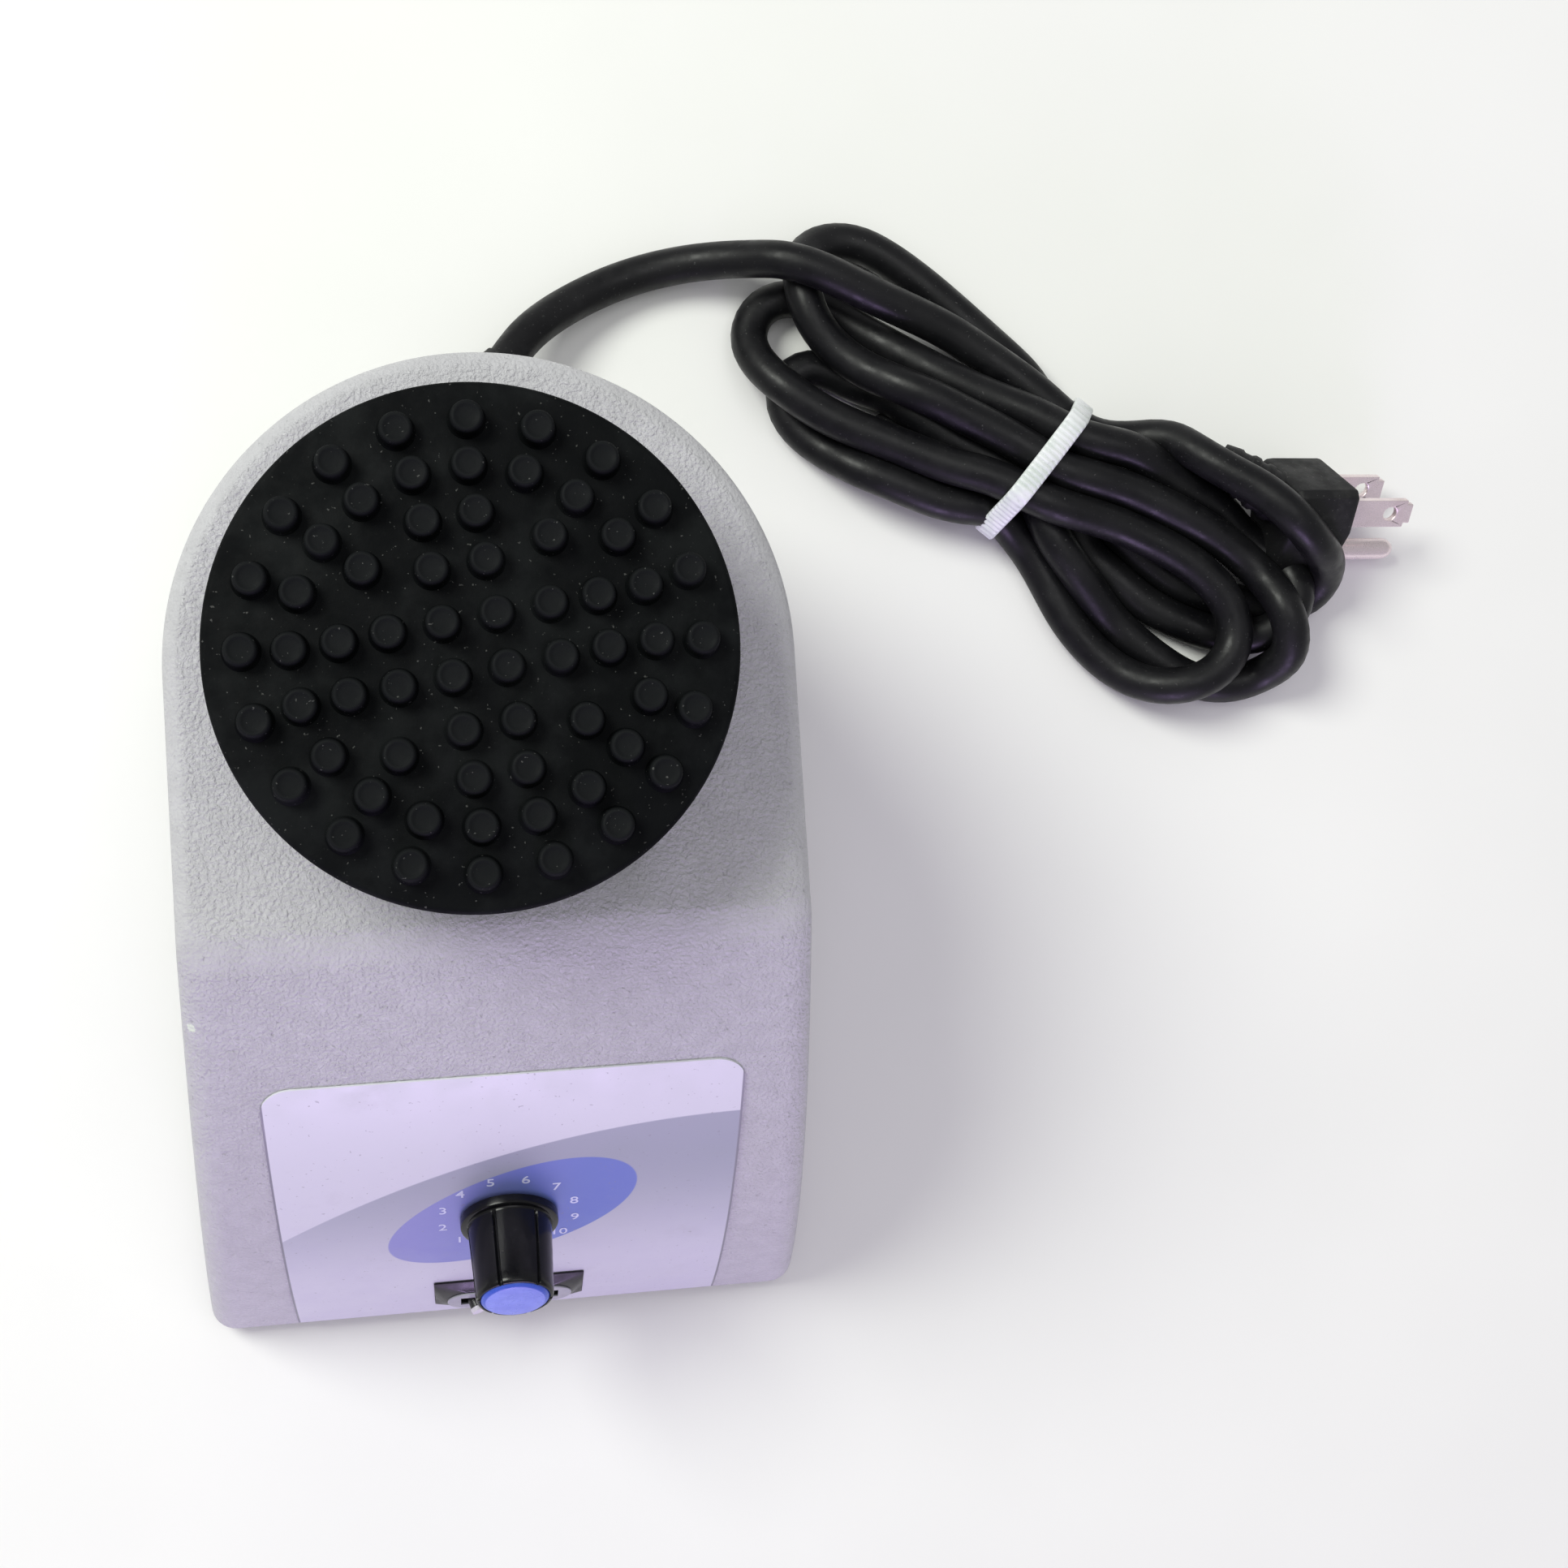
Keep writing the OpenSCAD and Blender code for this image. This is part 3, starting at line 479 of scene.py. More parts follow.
def catmull(points, steps):
    """Catmull-Rom curve through the points, with that many steps between each two."""
    p = np.array(points, float)
    p = np.vstack([2 * p[0] - p[1], p, 2 * p[-1] - p[-2]])
    out = []
    for a, b, c, d in zip(p[:-3], p[1:-2], p[2:-1], p[3:]):
        for t in np.arange(steps) / steps:
            out.append(0.5 * (2 * b + (c - a) * t + (2 * a - 5 * b + 4 * c - d) * t * t
                              + (3 * b - a - 3 * c + d) * t ** 3))
    out.append(p[-2])
    return np.array(out)


def resample(p, step):
    run = np.r_[0, np.cumsum(np.linalg.norm(np.diff(p, axis=0), axis=1))]
    at = np.linspace(0, run[-1], int(round(run[-1] / step)) + 1)
    return np.stack([np.interp(at, run, p[:, k]) for k in range(3)], 1)


def push_off(p, centres, reach):
    """Moves points of p out of balls of that reach round each centre."""
    for c in centres:
        away = p - c
        gap = np.linalg.norm(away, axis=1)
        near = gap < reach
        p[near] += ((reach - gap[near]) / gap[near])[:, None] * away[near] * 0.5


def lay_cord(steps=520, step=4.0):
    """Lets the planned route settle: it sinks a little, keeps off itself and the plug, and bends less."""
    p = resample(catmull(cord_route(), 6), step)
    plan = p.copy()
    n = len(p)
    neck = resample(catmull(NECK, 6), 2.5)
    shell = np.linspace((181, 69.5, 15.3), (190.5, 69.5, 13.9), 5)
    first, second = np.triu_indices(n, k=int(np.ceil(2.6 * CORD_D / step)))
    least = 10.0
    for turn in range(steps):
        p[:, :2] += 0.06 * (plan[:, :2] - p[:, :2])
        p[:, 2] += 0.03 * (plan[:, 2] - p[:, 2]) - 0.04
        flat = p[:-4] - 4 * p[1:-3] + 6 * p[2:-2] - 4 * p[3:-1] + p[4:]
        p[2:-2] -= 0.05 * flat
        for reach in (1, 2):
            a, b, c = p[:-2 * reach], p[reach:-reach], p[2 * reach:]
            half = np.linalg.norm(c - a, axis=1) / 2
            rise = np.linalg.norm((a + c) / 2 - b, axis=1) + 1e-9
            radius = (half ** 2 + rise ** 2) / (2 * rise)
            ease = np.clip(1 - radius / least, 0, 1)[:, None]
            p[reach:-reach] += 0.35 * ease * ((a + c) / 2 - b)
        for again in range(4):
            away = p[second] - p[first]
            gap = np.linalg.norm(away, axis=1)
            hit = gap < CORD_D
            if hit.any():
                i, j, off, g = first[hit], second[hit], away[hit], np.maximum(gap[hit], 1e-6)
                off[:, :2] *= 0.5
                push = (0.27 * (CORD_D - g) / g)[:, None] * off
                total, count = np.zeros((n, 3)), np.zeros(n)
                np.add.at(total, i, -push)
                np.add.at(total, j, push)
                np.add.at(count, i, 1)
                np.add.at(count, j, 1)
                p += total / np.maximum(1, count * 0.6)[:, None]
            push_off(p[:-4], neck, 4.6 + CORD_D / 2)
            push_off(p[:-4], shell, 9.5 + CORD_D / 2)
            p[:, 2] = np.maximum(p[:, 2], CORD_D / 2 + 0.03)
        p[:2], p[-2:] = plan[:2], plan[-2:]
    return p


# ---- Cord, tie and plug ----
RELIEF_ROUTE = [(3, 92.5, 14), (3, 95, 14), (4.2, 98.5, 13.8), (6.6, 101.8, 13.4), CORD_EXIT]
BACK_HOLE = Matrix.Translation((3, 0, 14)) @ Matrix.Rotation(math.radians(-90), 4, "X")


def jacket():
    """Satin black mains jacket: fine drawn grain, scuffs, a little dust."""
    s = Shader("cord_jacket", (0.006, 0.006, 0.007), 0.36, specular=0.24)
    scuff = s.ramp(s.noise(160, 6, 0.65), 0.56, 0.78, 0, 0.35)
    tone = s.mix(s.ramp(s.noise(60, 4), 0.35, 0.65), (0.004, 0.004, 0.005), (0.008, 0.008, 0.009))
    specks = s.math("MULTIPLY", s.ramp(s.noise(1900, 2, 0.4), 0.70, 0.75), 0.2)
    s.colour(s.mix(specks, s.mix(scuff, tone, (0.022, 0.022, 0.023)), (0.2, 0.2, 0.2)))
    s.roughness(s.ramp(s.noise(300, 4), 0.3, 0.7, 0.33, 0.5))
    s.relief(s.noise(1400, 3, 0.55), 0.000022)
    s.relief(s.noise(240, 2, 0.5), 0.00006)
    return s.material


def nylon():
    """Milky nylon of the cable tie."""
    s = Shader("tie_nylon", (0.72, 0.76, 0.75), 0.32, specular=0.5)
    s.set("Subsurface Weight", 0.25)
    s.set("Subsurface Radius", (0.004, 0.004, 0.004))
    s.set("Subsurface Scale", 0.6)
    tone = s.mix(s.ramp(s.noise(220, 4), 0.35, 0.65), (0.66, 0.71, 0.69), (0.78, 0.80, 0.82))
    s.colour(s.mix(s.ramp(s.noise(900, 3), 0.62, 0.75, 0, 0.4), tone, (0.45, 0.46, 0.46)))
    s.roughness(s.ramp(s.noise(500, 3), 0.3, 0.7, 0.26, 0.42))
    s.relief(s.noise(1500, 3), 0.00002)
    return s.material


JACKET = jacket()
PLUG_RUBBER = moulded("plug_rubber", (0.009, 0.009, 0.010), 0.55, grain=2400, depth=0.00003, dust=0.2,
                      specular=0.22)
RELIEF_RUBBER = moulded("relief_rubber", (0.013, 0.013, 0.014), 0.58, grain=2400, depth=0.00003, dust=0.25,
                        specular=0.3)
TIE_NYLON = nylon()
NICKEL = metal("nickel", (0.86, 0.75, 0.76), 0.32, stretch=(6, 6, 6), grain=700, stain=(0.50, 0.40, 0.38),
               stained=0.3, metallic=0.72)

cord_path = lay_cord()
knots = cord_path[:-2:2].tolist() + [cord_path[-1].tolist()]
smooth_path = resample(catmull(knots, 16), 2.0)
for again in range(3):
    smooth_path[1:-1] += 0.25 * (smooth_path[:-2] - 2 * smooth_path[1:-1] + smooth_path[2:])
smooth_path[:, 2] = np.maximum(smooth_path[:, 2], CORD_D / 2 + 0.03)
cord = add_object("mains_cord", *loft(sweep_rings(smooth_path, [CORD_D / 2] * len(smooth_path), 28)))
piece(cord, "body", "cord_black", JACKET, "cord_lead", "cord_hank")


def ribbed_relief():
    """Tapered strain relief with ribs round it, from a flange at the wall."""
    path = resample(catmull(RELIEF_ROUTE, 8), 0.5)
    count = len(path)
    radii = []
    for i in range(count):
        t = i / (count - 1)
        r = 6.1 - 1.45 * t
        in_rib = 0.15 < t < 0.9 and (i // 3) % 2 == 0
        radii.append(r - (0.55 if in_rib else 0.0))
    rings = sweep_rings(path, radii, 36)
    flange = [(6.0, 86), (6.0, 92.3), (7.1, 92.35), (7.6, 92.8), (7.6, 93.6), (7.1, 94.1), (6.0, 94.2)]
    return joined([loft(rings), loft(lathe(flange, 48, BACK_HOLE))])


relief = add_object("strain_relief_boot", *ribbed_relief(), smooth_deg=30)
piece(relief, "body", "relief_rubber", RELIEF_RUBBER, "strain_relief")


TOOTH = 1.3


def tie_band():
    """Flat band pulled round the strands, with teeth across it."""
    here = smooth_path
    side = (here[:, :2] - TIE) @ HANK_ALONG
    across = (here[:, :2] - TIE) @ TIE_ALONG
    spots = []
    for i in range(len(here) - 1):
        if side[i] * side[i + 1] <= 0 and abs(across[i]) < 22:
            t = side[i] / (side[i] - side[i + 1] + 1e-12)
            spots.append((across[i] + t * (across[i + 1] - across[i]),
                          here[i, 2] + t * (here[i + 1, 2] - here[i, 2])))
    spots = np.array(spots)
    turns = np.linspace(0, 2 * math.pi, 721)
    ways = np.stack([np.cos(turns), np.sin(turns)], 1)
    outline = [spots[np.argmax(spots @ way)] + CORD_D / 2 * way for way in ways]
    outline = np.c_[outline, np.zeros(len(outline))]
    around = np.linalg.norm(np.diff(outline, axis=0), axis=1).sum()
    steps = 4 * int(round(around / TOOTH))
    outline = resample(outline, around / steps)[:steps, :2]
    along = np.roll(outline, -1, axis=0) - np.roll(outline, 1, axis=0)
    outward = np.stack([along[:, 1], -along[:, 0]], 1) / np.linalg.norm(along, axis=1)[:, None]
    section = [(-2.3, 0.15), (-2.3, 0.95), (-1.9, 1.3), (1.9, 1.3), (2.3, 0.95), (2.3, 0.15)]
    verts = []
    for k in range(steps):
        tooth = 0.38 if k % 4 == 0 else 0.0
        for s, h in section:
            q = outline[k] + outward[k] * (h - (tooth if abs(s) < 2 else 0))
            flat = TIE + TIE_ALONG * q[0] + HANK_ALONG * s
            verts.append((flat[0], flat[1], max(q[1], 0.05 + (h if q[1] < 1 else 0))))
    cols = len(section)
    faces = [(k * cols + i, k * cols + (i + 1) % cols, ((k + 1) % steps) * cols + (i + 1) % cols,
              ((k + 1) % steps) * cols + i) for k in range(steps) for i in range(cols)]
    return verts, faces


tie = add_object("tie_band", *tie_band(), smooth_deg=50)
piece(tie, "body", "tie_white", TIE_NYLON, "cable_tie")

PLUG_SPOT, PLUG_DIP, PLUG_ROLL = (191.7, 69.5, 13.8), 10, -54.5
PLUG_FRAME = (Matrix.Translation(PLUG_SPOT) @ Matrix.Rotation(math.radians(PLUG_DIP), 4, "Y")
              @ Matrix.Rotation(math.radians(PLUG_ROLL), 4, "X"))
PLUG_FACE = [(-8.6, 6.5), (-10, 5.1), (-10, -3.5), (-6.2, -14), (-4.9, -15.2),
             (4.9, -15.2), (6.2, -14), (10, -3.5), (10, 5.1), (8.6, 6.5)]


def plug_shell():
    """Moulded plug: a rounded wedge with softened ends, and the stepped neck that runs into the cord."""
    rings = []
    middle = -2.6
    for x, grow in ((-15, 0.90), (-14.7, 0.95), (-14, 0.985), (-12.5, 1.0), (-3, 1.0), (-1.3, 1.0),
                    (-0.4, 0.985), (0, 0.95)):
        ring = []
        for y, z in PLUG_FACE:
            ring.append(tuple(PLUG_FRAME @ Vector((x, y * grow, middle + (z - middle) * grow))))
        rings.append(ring)
    body = loft(rings)
    path = resample(catmull(NECK, 8), 0.6)
    count = len(path)
    radii = [6.2 - 1.5 * i / (count - 1) - (0.45 if 0.12 < i / count < 0.85 and (i // 3) % 2 else 0)
             for i in range(count)]
    neck = loft(sweep_rings(path, radii, 36))
    return body, neck


plug_parts = plug_shell()
plug = add_object("plug_moulding", *plug_parts[0], smooth_deg=60)
bevel = plug.modifiers.new("round", "BEVEL")
bevel.width, bevel.segments, bevel.limit_method, bevel.angle_limit = 0.9 * MM, 3, "ANGLE", math.radians(20)
piece(plug, "body", "plug_black", PLUG_RUBBER, "plug_body")
neck = add_object("plug_neck", *plug_parts[1], smooth_deg=30)
piece(neck, "body", "plug_black", PLUG_RUBBER)


def earth_pin():
    place = PLUG_FRAME @ Matrix.Translation((0, 0, -11.9)) @ Matrix.Rotation(math.radians(90), 4, "Y")
    profile = [(2.39, 0.02), (2.39, 15.2)]
    for a in (math.radians(deg) for deg in range(0, 90, 12)):
        profile.append((2.39 * math.cos(a), 15.4 + 3.1 * math.sin(a)))
    profile.append((0.15, 18.5))
    return loft(lathe(profile, 40, place))


pin = add_object("plug_earth_pin", *earth_pin(), smooth_deg=60)
piece(pin, "body", "blade_nickel", NICKEL, "plug_ground_pin")


# ---- Housing ----

def half_w(z):
    return BODY_W / 2 - SIDE_LEAN * (z - FOOT_H) / (BODY_H - FOOT_H)


def panel_angle(z):
    return math.acos((z - PANEL_CZ) / PANEL_R)


def outline(z, half, front, corner):
    """One level of the housing, anticlockwise from the front left corner."""
    points = []
    for i in range(9):
        a = math.radians(180 + 90 * i / 8)
        points.append((-half + corner + corner * math.cos(a), front + corner + corner * math.sin(a), z))
    for i in range(1, 20):
        points.append((-half + corner + (2 * half - 2 * corner) * i / 20, front, z))
    for i in range(9):
        a = math.radians(270 + 90 * i / 8)
        points.append((half - corner + corner * math.cos(a), front + corner + corner * math.sin(a), z))
    for i in range(1, 12):
        points.append((half, front + corner + (AXIS_Y - front - corner) * i / 12, z))
    for i in range(97):
        a = math.pi * i / 96
        points.append((half * math.cos(a), AXIS_Y + half * math.sin(a), z))
    for i in range(1, 12):
        points.append((-half, AXIS_Y + (front + corner - AXIS_Y) * i / 12, z))
    return points


def outer_level(z, pull):
    front = PANEL_CY - PANEL_R * math.sin(panel_angle(z))
    return outline(z, half_w(z) - pull, front + pull, CORNER_R)


def inner_level(z):
    a = panel_angle(z)
    return outline(z, half_w(z) - WALL, PANEL_CY - PANEL_R * math.sin(a) + WALL / math.sin(a), CORNER_R - 2)


def housing_shell():
    outer = [outer_level(FOOT_H, 0.9), outer_level(FOOT_H + 0.15, 0.4), outer_level(FOOT_H + 0.5, 0.1),
             outer_level(FOOT_H + 1, 0)]
    outer += [outer_level(float(z), 0) for z in np.linspace(FOOT_H + 3, BODY_H - EDGE_R, 46)]
    for i in range(1, 11):
        a = math.radians(9 * i)
        outer.append(outer_level(BODY_H - EDGE_R + EDGE_R * math.sin(a), EDGE_R * (1 - math.cos(a))))
    inner = [inner_level(float(z)) for z in np.linspace(FOOT_H, BODY_H - WALL, 16)]
    cols = len(outer[0])
    verts = [p for ring in outer + inner for p in ring]
    faces = grid_faces(len(outer), cols)
    start = len(outer) * cols
    faces += [tuple(reversed(f)) for f in grid_faces(len(inner), cols, True, start)]
    faces += [(c, start + c, start + (c + 1) % cols, (c + 1) % cols) for c in range(cols)]
    faces.append(tuple((len(outer) - 1) * cols + c for c in range(cols)))
    faces.append(tuple(start + (len(inner) - 1) * cols + c for c in reversed(range(cols))))
    return verts, faces


PAINT = wrinkle_paint()
housing = add_object("housing_shell", *housing_shell(), smooth_deg=40)
cut(housing, *round_bar(17, BODY_H - 10, BODY_H + 10, Matrix.Translation((0, AXIS_Y, 0)), 96))
cut(housing, *round_bar(3.7, -8, 8, on_panel(0, KNOB_V)))
cut(housing, *block((-11.5, 11.5), (-3.5, 3.5), (-8, 8), on_panel(0, SWITCH_V)))
cut(housing, *round_bar(6.2, 82, 102, BACK_HOLE))
piece(housing, "body", "paint_white", PAINT, "housing")


# ---- Label and dial numbers ----
LABEL_HALF, LABEL_FOOT, LABEL_TOP, LABEL_ROUND = 43, 3, 97.5, 5.5


def label_sheet():
    columns, verts, uv = 61, [], []
    levels = list(np.linspace(LABEL_FOOT, LABEL_TOP - LABEL_ROUND, 60))
    levels += [LABEL_TOP - LABEL_ROUND + LABEL_ROUND * math.sin(math.radians(a)) for a in range(10, 91, 10)]
    for h in (0.4, 0.03):
        for v in levels:
            rise = max(0.0, v - (LABEL_TOP - LABEL_ROUND))
            half = LABEL_HALF - LABEL_ROUND + math.sqrt(max(0.0, LABEL_ROUND ** 2 - rise ** 2))
            for i in range(columns):
                x = half * (2 * i / (columns - 1) - 1)
                verts.append(panel_point(x, v, h))
                uv.append((x, v))
    rows = len(levels)
    faces = grid_faces(rows, columns, False)
    faces += [tuple(reversed(f)) for f in grid_faces(rows, columns, False, rows * columns)]
    edge = [r * columns for r in range(rows)] + [(rows - 1) * columns + c for c in range(1, columns)]
    edge += [r * columns + columns - 1 for r in range(rows - 2, -1, -1)] + list(range(columns - 2, 0, -1))
    under = rows * columns
    faces += [(a, b, b + under, a + under) for a, b in zip(edge, edge[1:] + edge[:1])]
    return verts, faces, uv


label_verts, label_faces, label_uv = label_sheet()
label = add_object("front_label_print", label_verts, label_faces, 35, label_uv)
cut(label, *round_bar(6.5, -8, 8, on_panel(0, KNOB_V)))
cut(label, *block((-12.6, 12.6), (-4.6, 4.6), (-8, 8), on_panel(0, SWITCH_V)))
piece(label, "body", "label_film", label_print(), "front_label")


def dial_numbers():
    """The numbers 1 to 10 round the dial, bent onto the panel."""
    verts, faces = [], []
    for i in range(10):
        text = bpy.data.curves.new("number", "FONT")
        text.body, text.size, text.align_x, text.align_y = str(i + 1), 3.5, "CENTER", "CENTER"
        text.extrude, text.offset, text.resolution_u = 0.02, 0.02, 6
        holder = bpy.data.objects.new("number", text)
        bpy.context.collection.objects.link(holder)
        bpy.context.view_layer.update()
        flat = bpy.data.meshes.new_from_object(holder.evaluated_get(bpy.context.evaluated_depsgraph_get()))
        a = math.radians(222.5 - 29.4 * i)
        x, v = 12.9 * math.cos(a), KNOB_V + 12.9 * math.sin(a)
        base = len(verts)
        verts += [panel_point(x + p.co.x, v + p.co.y, 0.44 + p.co.z) for p in flat.vertices]
        faces += [tuple(base + q for q in f.vertices) for f in flat.polygons]
        bpy.data.objects.remove(holder)
    return verts, faces


NUMBER_WHITE = moulded("number_white", (0.58, 0.61, 0.78), 0.4, grain=2600, depth=0.000008, blotch=0.05)
numbers = add_object("dial_numbers", *dial_numbers(), smooth_deg=20)
piece(numbers, "body", "label_film", NUMBER_WHITE)


# ---- Knob ----
GROOVES = [math.radians(a) for a in range(52, 360, 60)]


def knob_radius(r, z, a):
    """Radius of the knob with its grip grooves."""
    if z < 3.3 or r < 6:
        return r
    near = min(abs((a - g + math.pi) % (2 * math.pi) - math.pi) for g in GROOVES) * r
    return r - 0.6 * max(0.0, 1 - (near / 0.42) ** 2)


def knob_shape():
    top = 17.8
    profile = [(3.2, 3.2), (7.0, 3.0), (7.0, 0.85), (9.1, 0.8), (9.3, 0.95), (9.3, 2.2), (9.2, 2.55),
               (8.95, 2.7), (8.15, 2.75), (8.0, 2.95), (7.97, 3.35), (7.94, 3.9), (7.75, 7), (7.55, 11),
               (7.36, 15), (7.3, 16.8), (7.22, 17.3), (7.05, 17.65), (6.8, top), (6.6, top), (6.5, top - 0.1),
               (6.5, top - 1.2), (0.2, top - 1.2)]
    return loft(lathe(profile, 480, on_panel(0, KNOB_V), knob_radius))


KNOB_BLACK = moulded("knob_black", (0.004, 0.004, 0.005), 0.17, grain=1600, depth=0.000002, blotch=0.1,
                     dust=0.04, specular=0.24)
knob = add_object("speed_dial_grip", *knob_shape(), smooth_deg=35)
piece(knob, "knob", "knob_black", KNOB_BLACK, "knob_body")


def cap_paint():
    s = Shader("knob_cap_blue", (0.2, 0.26, 0.8), 0.3)
    split = s.add("ShaderNodeSeparateXYZ")
    s.link(s.add("ShaderNodeTexCoord").outputs["UV"], split.inputs["Vector"])
    face = s.ramp(split.outputs["X"], 5.45, 5.65, 1, 0)
    tone = s.mix(s.ramp(s.noise(300, 3), 0.35, 0.65), (0.17, 0.22, 0.70), (0.21, 0.27, 0.78))
    s.colour(s.mix(face, (0.04, 0.09, 0.50), tone))
    s.roughness(s.ramp(s.noise(500, 3), 0.3, 0.7, 0.24, 0.38))
    s.relief(s.noise(1800, 2), 0.000006)
    return s.material


def cap_shape():
    profile = [(0.2, 16.65), (6.4, 16.65), (6.4, 17.6), (6.3, 17.85), (5.75, 18.25), (5.5, 18.33), (3, 18.36),
               (0.2, 18.37)]
    rings = lathe(profile, 96, on_panel(0, KNOB_V))
    return (*loft(rings), 40, [(r, 0) for r, z in profile for k in range(96)])


cap = add_object("speed_dial_cap", *cap_shape())
piece(cap, "knob", "knob_blue", cap_paint(), "knob_cap")


# ---- Platform ----

def nub_rings(place):
    profile = [(3.15, -0.05), (3.12, 0.12), (2.95, 0.35), (2.85, 0.7), (2.78, 1.6), (2.68, 2.8), (2.58, 3.2),
               (2.42, 3.45), (2.2, 3.58), (1.95, 3.56), (1.75, 3.42), (1.2, 3.30), (0.1, 3.27)]
    return loft(lathe(profile, 28, place))


def pad_shape():
    rim = [(0.3, 0), (PAD_R - 1.0, 0), (PAD_R - 0.45, -0.12), (PAD_R - 0.12, -0.45), (PAD_R, -0.9),
           (PAD_R - 0.05, -1.6), (PAD_R - 0.5, -2.6), (PAD_R - 2.2, -4.6), (PAD_R - 2.6, -5), (38.3, -5),
           (38.2, -4.9), (38.2, -3.1), (0.3, -3.1)]
    centre = Matrix.Translation((PIN[0], PIN[1], PAD_Z))
    parts = [loft(lathe(rim, 180, centre))]
    spots = [(f * PAD_R, 18 * k - 1.1) for k in range(20) for f in (0.85, 0.675)]
    for wedge in range(4):
        for f, off in ((0.144, 0), (0.321, -26.4), (0.321, 26.4), (0.497, -33.4), (0.497, 0), (0.497, 33.4)):
            spots.append((f * PAD_R, 53 + 90 * wedge + off))
    for r, deg in spots:
        a = math.radians(deg)
        parts.append(nub_rings(centre @ Matrix.Translation((r * math.cos(a), r * math.sin(a), 0))))
    return joined(parts)


def pad_rubber():
    """Dull black rubber: dusty blotches on the flat; the nub tops are painted a touch lighter, a painted
    highlight where the light falls on them.
    """
    s = Shader("pad_rubber", (0.004, 0.0045, 0.005), 0.66, specular=0.07)
    split = s.add("ShaderNodeSeparateXYZ")
    s.link(s.place, split.inputs["Vector"])
    # painted highlight: the nub tops, above the flat of the pad, get a lighter colour
    top = s.ramp(split.outputs["Z"], (PAD_Z + 2.4) * MM, (PAD_Z + 3.1) * MM)
    tone = s.mix(s.ramp(s.noise(70, 5, 0.6), 0.42, 0.66), (0.0025, 0.003, 0.0035), (0.007, 0.008, 0.0085))
    tone = s.mix(top, tone, (0.007, 0.0078, 0.0086))
    specks = s.math("MULTIPLY", s.ramp(s.noise(1700, 2, 0.4), 0.71, 0.76), 0.14)
    s.colour(s.mix(specks, tone, (0.42, 0.42, 0.40)))
    s.roughness(s.ramp(s.noise(260, 4), 0.3, 0.7, 0.58, 0.76))
    s.relief(s.noise(1500, 3, 0.6), 0.00004)
    return s.material


PAD_RUBBER = pad_rubber()
pad = add_object("platform_rubber", *pad_shape(), smooth_deg=50)
piece(pad, "head", "pad_rubber", PAD_RUBBER, "platform_pad")

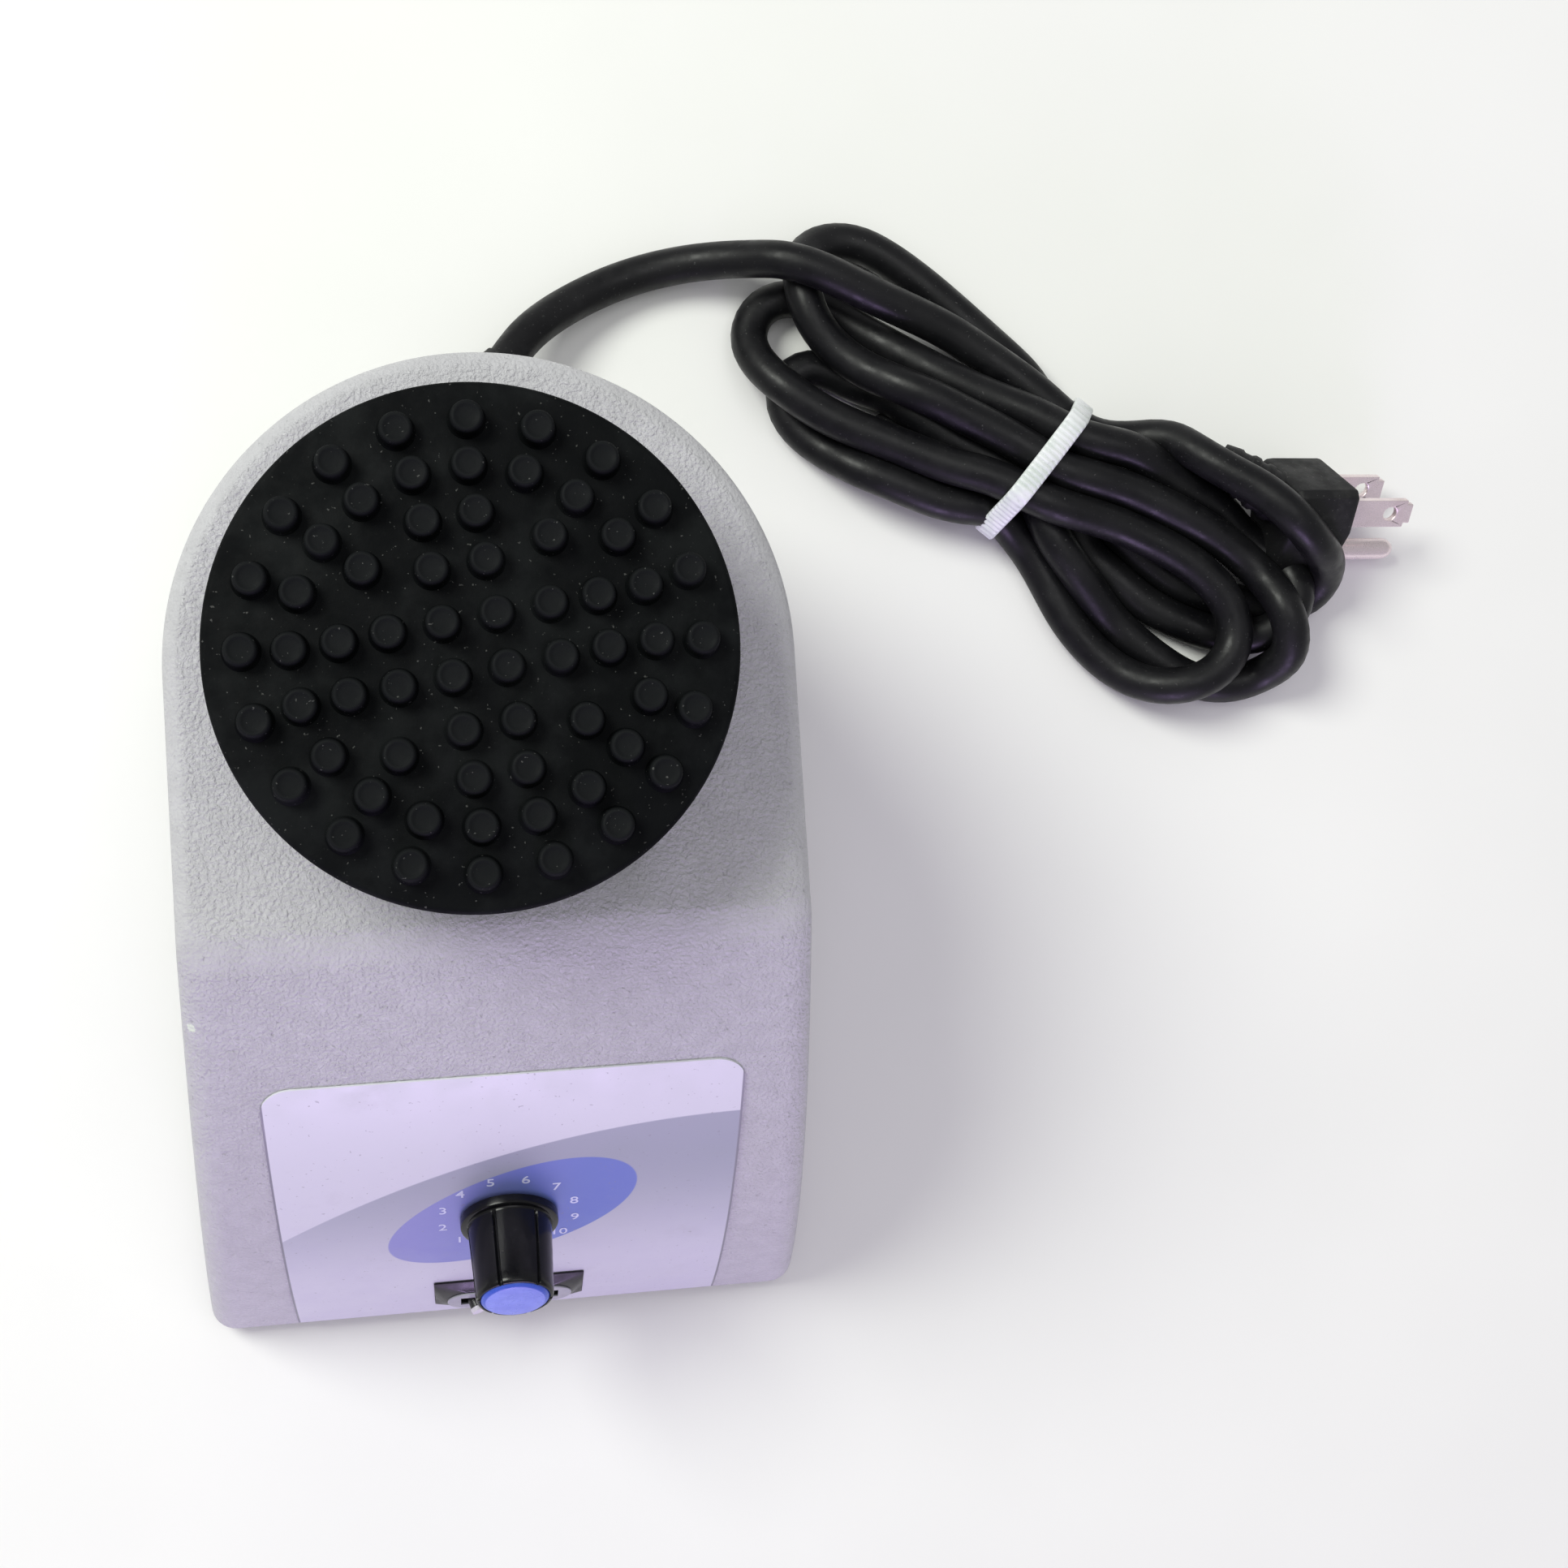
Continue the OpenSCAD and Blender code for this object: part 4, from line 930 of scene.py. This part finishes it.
# ---- Materials for the CAD nodes that stay ----
BLACK_SATIN = moulded("black_satin", (0.010, 0.010, 0.011), 0.34, grain=2200, depth=0.00001, dust=0.1,
                      specular=0.35)
FINISHES = {
    "steel_plate": metal("zinc_sheet", (0.58, 0.59, 0.60), 0.38, (1, 20, 1)),
    "rubber_foot": moulded("foot_rubber", (0.02, 0.02, 0.02), 0.7, dust=0.8),
    "steel_screw": metal("bright_screw", (0.62, 0.62, 0.63), 0.3),
    "switch_black": BLACK_SATIN,
    "switch_grey": moulded("switch_grey", (0.33, 0.33, 0.37), 0.38, dust=0.3, blotch=0.06),
    "switch_shell": moulded("switch_shell", (0.01, 0.01, 0.011), 0.5),
    "lever_black": moulded("lever_black", (0.012, 0.012, 0.013), 0.3),
    "lever_grey": moulded("lever_grey", (0.60, 0.57, 0.63), 0.35, blotch=0.05),
    "pot_case": moulded("pot_case", (0.05, 0.12, 0.15), 0.5),
    "pot_metal": metal("pot_metal", (0.6, 0.6, 0.6), 0.32),
    "pointer_grey": moulded("pointer_grey", (0.55, 0.56, 0.60), 0.4, blotch=0.05),
    "set_screw": metal("set_screw", (0.08, 0.08, 0.085), 0.42),
    "collar_rubber": moulded("collar_rubber", (0.018, 0.018, 0.019), 0.65, dust=0.6),
    "bracket_alloy": metal("bracket_alloy", (0.6, 0.61, 0.63), 0.5, (1, 1, 1), 1400, 0.00005),
    "bronze": metal("sintered_bronze", (0.52, 0.34, 0.16), 0.45, (1, 1, 1), 1800, 0.00003),
    "core_steel": metal("laminations", (0.34, 0.35, 0.38), 0.5, (1, 1, 40), 200, 0.0001),
    "winding": metal("copper_wire", (0.55, 0.22, 0.08), 0.35, (3, 3, 90), 160, 0.0002),
    "bolt_steel": metal("zinc_bolt", (0.6, 0.6, 0.6), 0.35),
    "mount_rubber": moulded("mount_rubber", (0.02, 0.02, 0.02), 0.7, dust=0.3),
    "shaft_steel": metal("ground_shaft", (0.62, 0.62, 0.63), 0.2, (1, 1, 30), 1200),
    "rotor_steel": metal("rotor_steel", (0.42, 0.42, 0.44), 0.42, (1, 1, 40), 240, 0.00006),
    "fan_plastic": moulded("fan_plastic", (0.03, 0.10, 0.06), 0.5),
    "hub_iron": metal("hub_iron", (0.34, 0.34, 0.34), 0.5, (1, 1, 20)),
    "bearing_steel": metal("bearing_steel", (0.64, 0.64, 0.66), 0.24),
    "head_alloy": metal("head_alloy", (0.58, 0.59, 0.62), 0.36, (1, 1, 24)),
    "plate_alloy": metal("plate_alloy", (0.62, 0.63, 0.65), 0.4, (16, 1, 1)),
    "button_nylon": moulded("button_nylon", (0.7, 0.67, 0.58), 0.42, blotch=0.05),
    "ball_steel": metal("ball_steel", (0.7, 0.7, 0.71), 0.12),
    "spring_steel": metal("spring_steel", (0.42, 0.42, 0.44), 0.35),
    "micro_switch": moulded("micro_switch", (0.02, 0.02, 0.022), 0.45),
    "board_green": moulded("board_green", (0.02, 0.17, 0.06), 0.35, blotch=0.2),
    "standoff_nylon": moulded("standoff_nylon", (0.72, 0.72, 0.66), 0.45, blotch=0.05),
    "heatsink_alloy": metal("heatsink_alloy", (0.5, 0.51, 0.52), 0.45, (1, 30, 1)),
    "capacitor_film": moulded("capacitor_film", (0.04, 0.06, 0.20), 0.35),
    "terminal_white": moulded("terminal_white", (0.74, 0.71, 0.64), 0.45, blotch=0.05),
    "earth_brass": metal("earth_brass", (0.6, 0.45, 0.18), 0.35),
    "wire_green": moulded("wire_green", (0.03, 0.20, 0.06), 0.45),
    "blade_nickel": NICKEL,
}
SPRING_LOW, SPRING_HIGH, SPRING_PRESSED = 8.02, 14.62, 12.55


def coil_spring():
    """Small compression spring with closed ends, 0.9 mm wire."""
    path = []
    for i in range(241):
        turn = 6 * i / 240
        rise = min(1, max(0, (turn - 0.8) / 4.4))
        a = 2 * math.pi * turn
        z = SPRING_LOW + 0.47 + 0.9 * min(turn, 0.8) + (SPRING_HIGH - SPRING_LOW - 2.4) * rise
        z += 0.9 * max(0, turn - 5.2)
        path.append((4.85 * math.cos(a), AXIS_Y + 4.85 * math.sin(a), z))
    return loft(sweep_rings(np.array(path), [0.44] * len(path), 14))


spring = add_object("lift_spring_coil", *coil_spring(), smooth_deg=60)
piece(spring, "body", "spring_steel", FINISHES["spring_steel"], "lift_spring")
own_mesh(spring)

# Edge rounding of some nodes, mm; the others have 0.2.
BEVELS = {"switch_bezel": 0.35, "switch_plate": 0.12, "switch_lever": 0.25, "lever_tip": 0.3,
          "knob_pointer": 0.08, "plug_blades": 0.28, "splash_collar": 0.4, "rubber_feet": 0.5}
shown_by_piece = {"housing", "front_label", "knob_body", "knob_cap", "platform_pad", "strain_relief",
                  "cord_lead", "cord_hank", "cable_tie", "plug_body", "plug_ground_pin", "lift_spring"}
for part in frame["record"]["subparts"]:
    name, slot = part["node"], part["material_slot"]
    if name in shown_by_piece:
        continue
    obj = frame["nodes"][name]
    for index in range(max(1, len(obj.material_slots))):
        if not obj.material_slots:
            obj.data.materials.append(FINISHES[slot])
        obj.material_slots[index].material = FINISHES[slot]
    obj.data.polygons.foreach_set("use_smooth", [True] * len(obj.data.polygons))
    weld = obj.modifiers.new("weld", "WELD")
    weld.merge_threshold = 0.000002
    bevel = obj.modifiers.new("edge", "BEVEL")
    bevel.width, bevel.segments = BEVELS.get(name, 0.2) * MM, 2
    bevel.limit_method, bevel.angle_limit, bevel.use_clamp_overlap = "ANGLE", math.radians(32), True
    normals = obj.modifiers.new("normals", "WEIGHTED_NORMAL")
    normals.keep_sharp = True

# ---- Floor and light ----

def floor_paper():
    s = Shader("floor_paper", (0.86, 0.86, 0.86), 0.75, specular=0.15)
    s.colour(s.mix(s.ramp(s.noise(9, 3), 0.3, 0.7), (0.86, 0.86, 0.845), (0.885, 0.885, 0.87)))
    s.relief(s.noise(1200, 2), 0.000008)
    return s.material


FLOOR_HALF = 3000
corners = [(FLOOR_HALF * x, FLOOR_HALF * y, 0) for x, y in ((-1, -1), (1, -1), (1, 1), (-1, 1))]
floor = add_object("floor", corners, [(0, 1, 2, 3)])
floor.data.materials.append(floor_paper())


def soft_light(name, place, target, size, power, colour):
    data = bpy.data.lights.new(name, "AREA")
    data.shape, data.size, data.energy, data.color = "DISK", size, power, colour
    lamp = bpy.data.objects.new(name, data)
    bpy.context.collection.objects.link(lamp)
    lamp.location = place
    lamp.rotation_euler = (Vector(target) - Vector(place)).to_track_quat("-Z", "Y").to_euler()


soft_light("key", (-0.75, 0.60, 1.15), (0.03, 0.02, 0.05), 0.7, 16.5, (0.97, 1.0, 0.92))
soft_light("fill", (0.0, -1.60, 0.24), (0.0, -0.05, 0.05), 0.8, 15.0, (0.70, 0.50, 1.0))
soft_light("top", (0.20, 0.15, 1.6), (0.05, 0.02, 0.0), 1.0, 3.5, (1.0, 1.0, 1.0))
world = bpy.data.worlds.new("studio")
bpy.context.scene.world = world
world.use_nodes = True
world.node_tree.nodes["Background"].inputs["Color"].default_value = (0.98, 0.98, 1.0, 1)
world.node_tree.nodes["Background"].inputs["Strength"].default_value = 0.43
bpy.context.scene.view_settings.view_transform = "Standard"
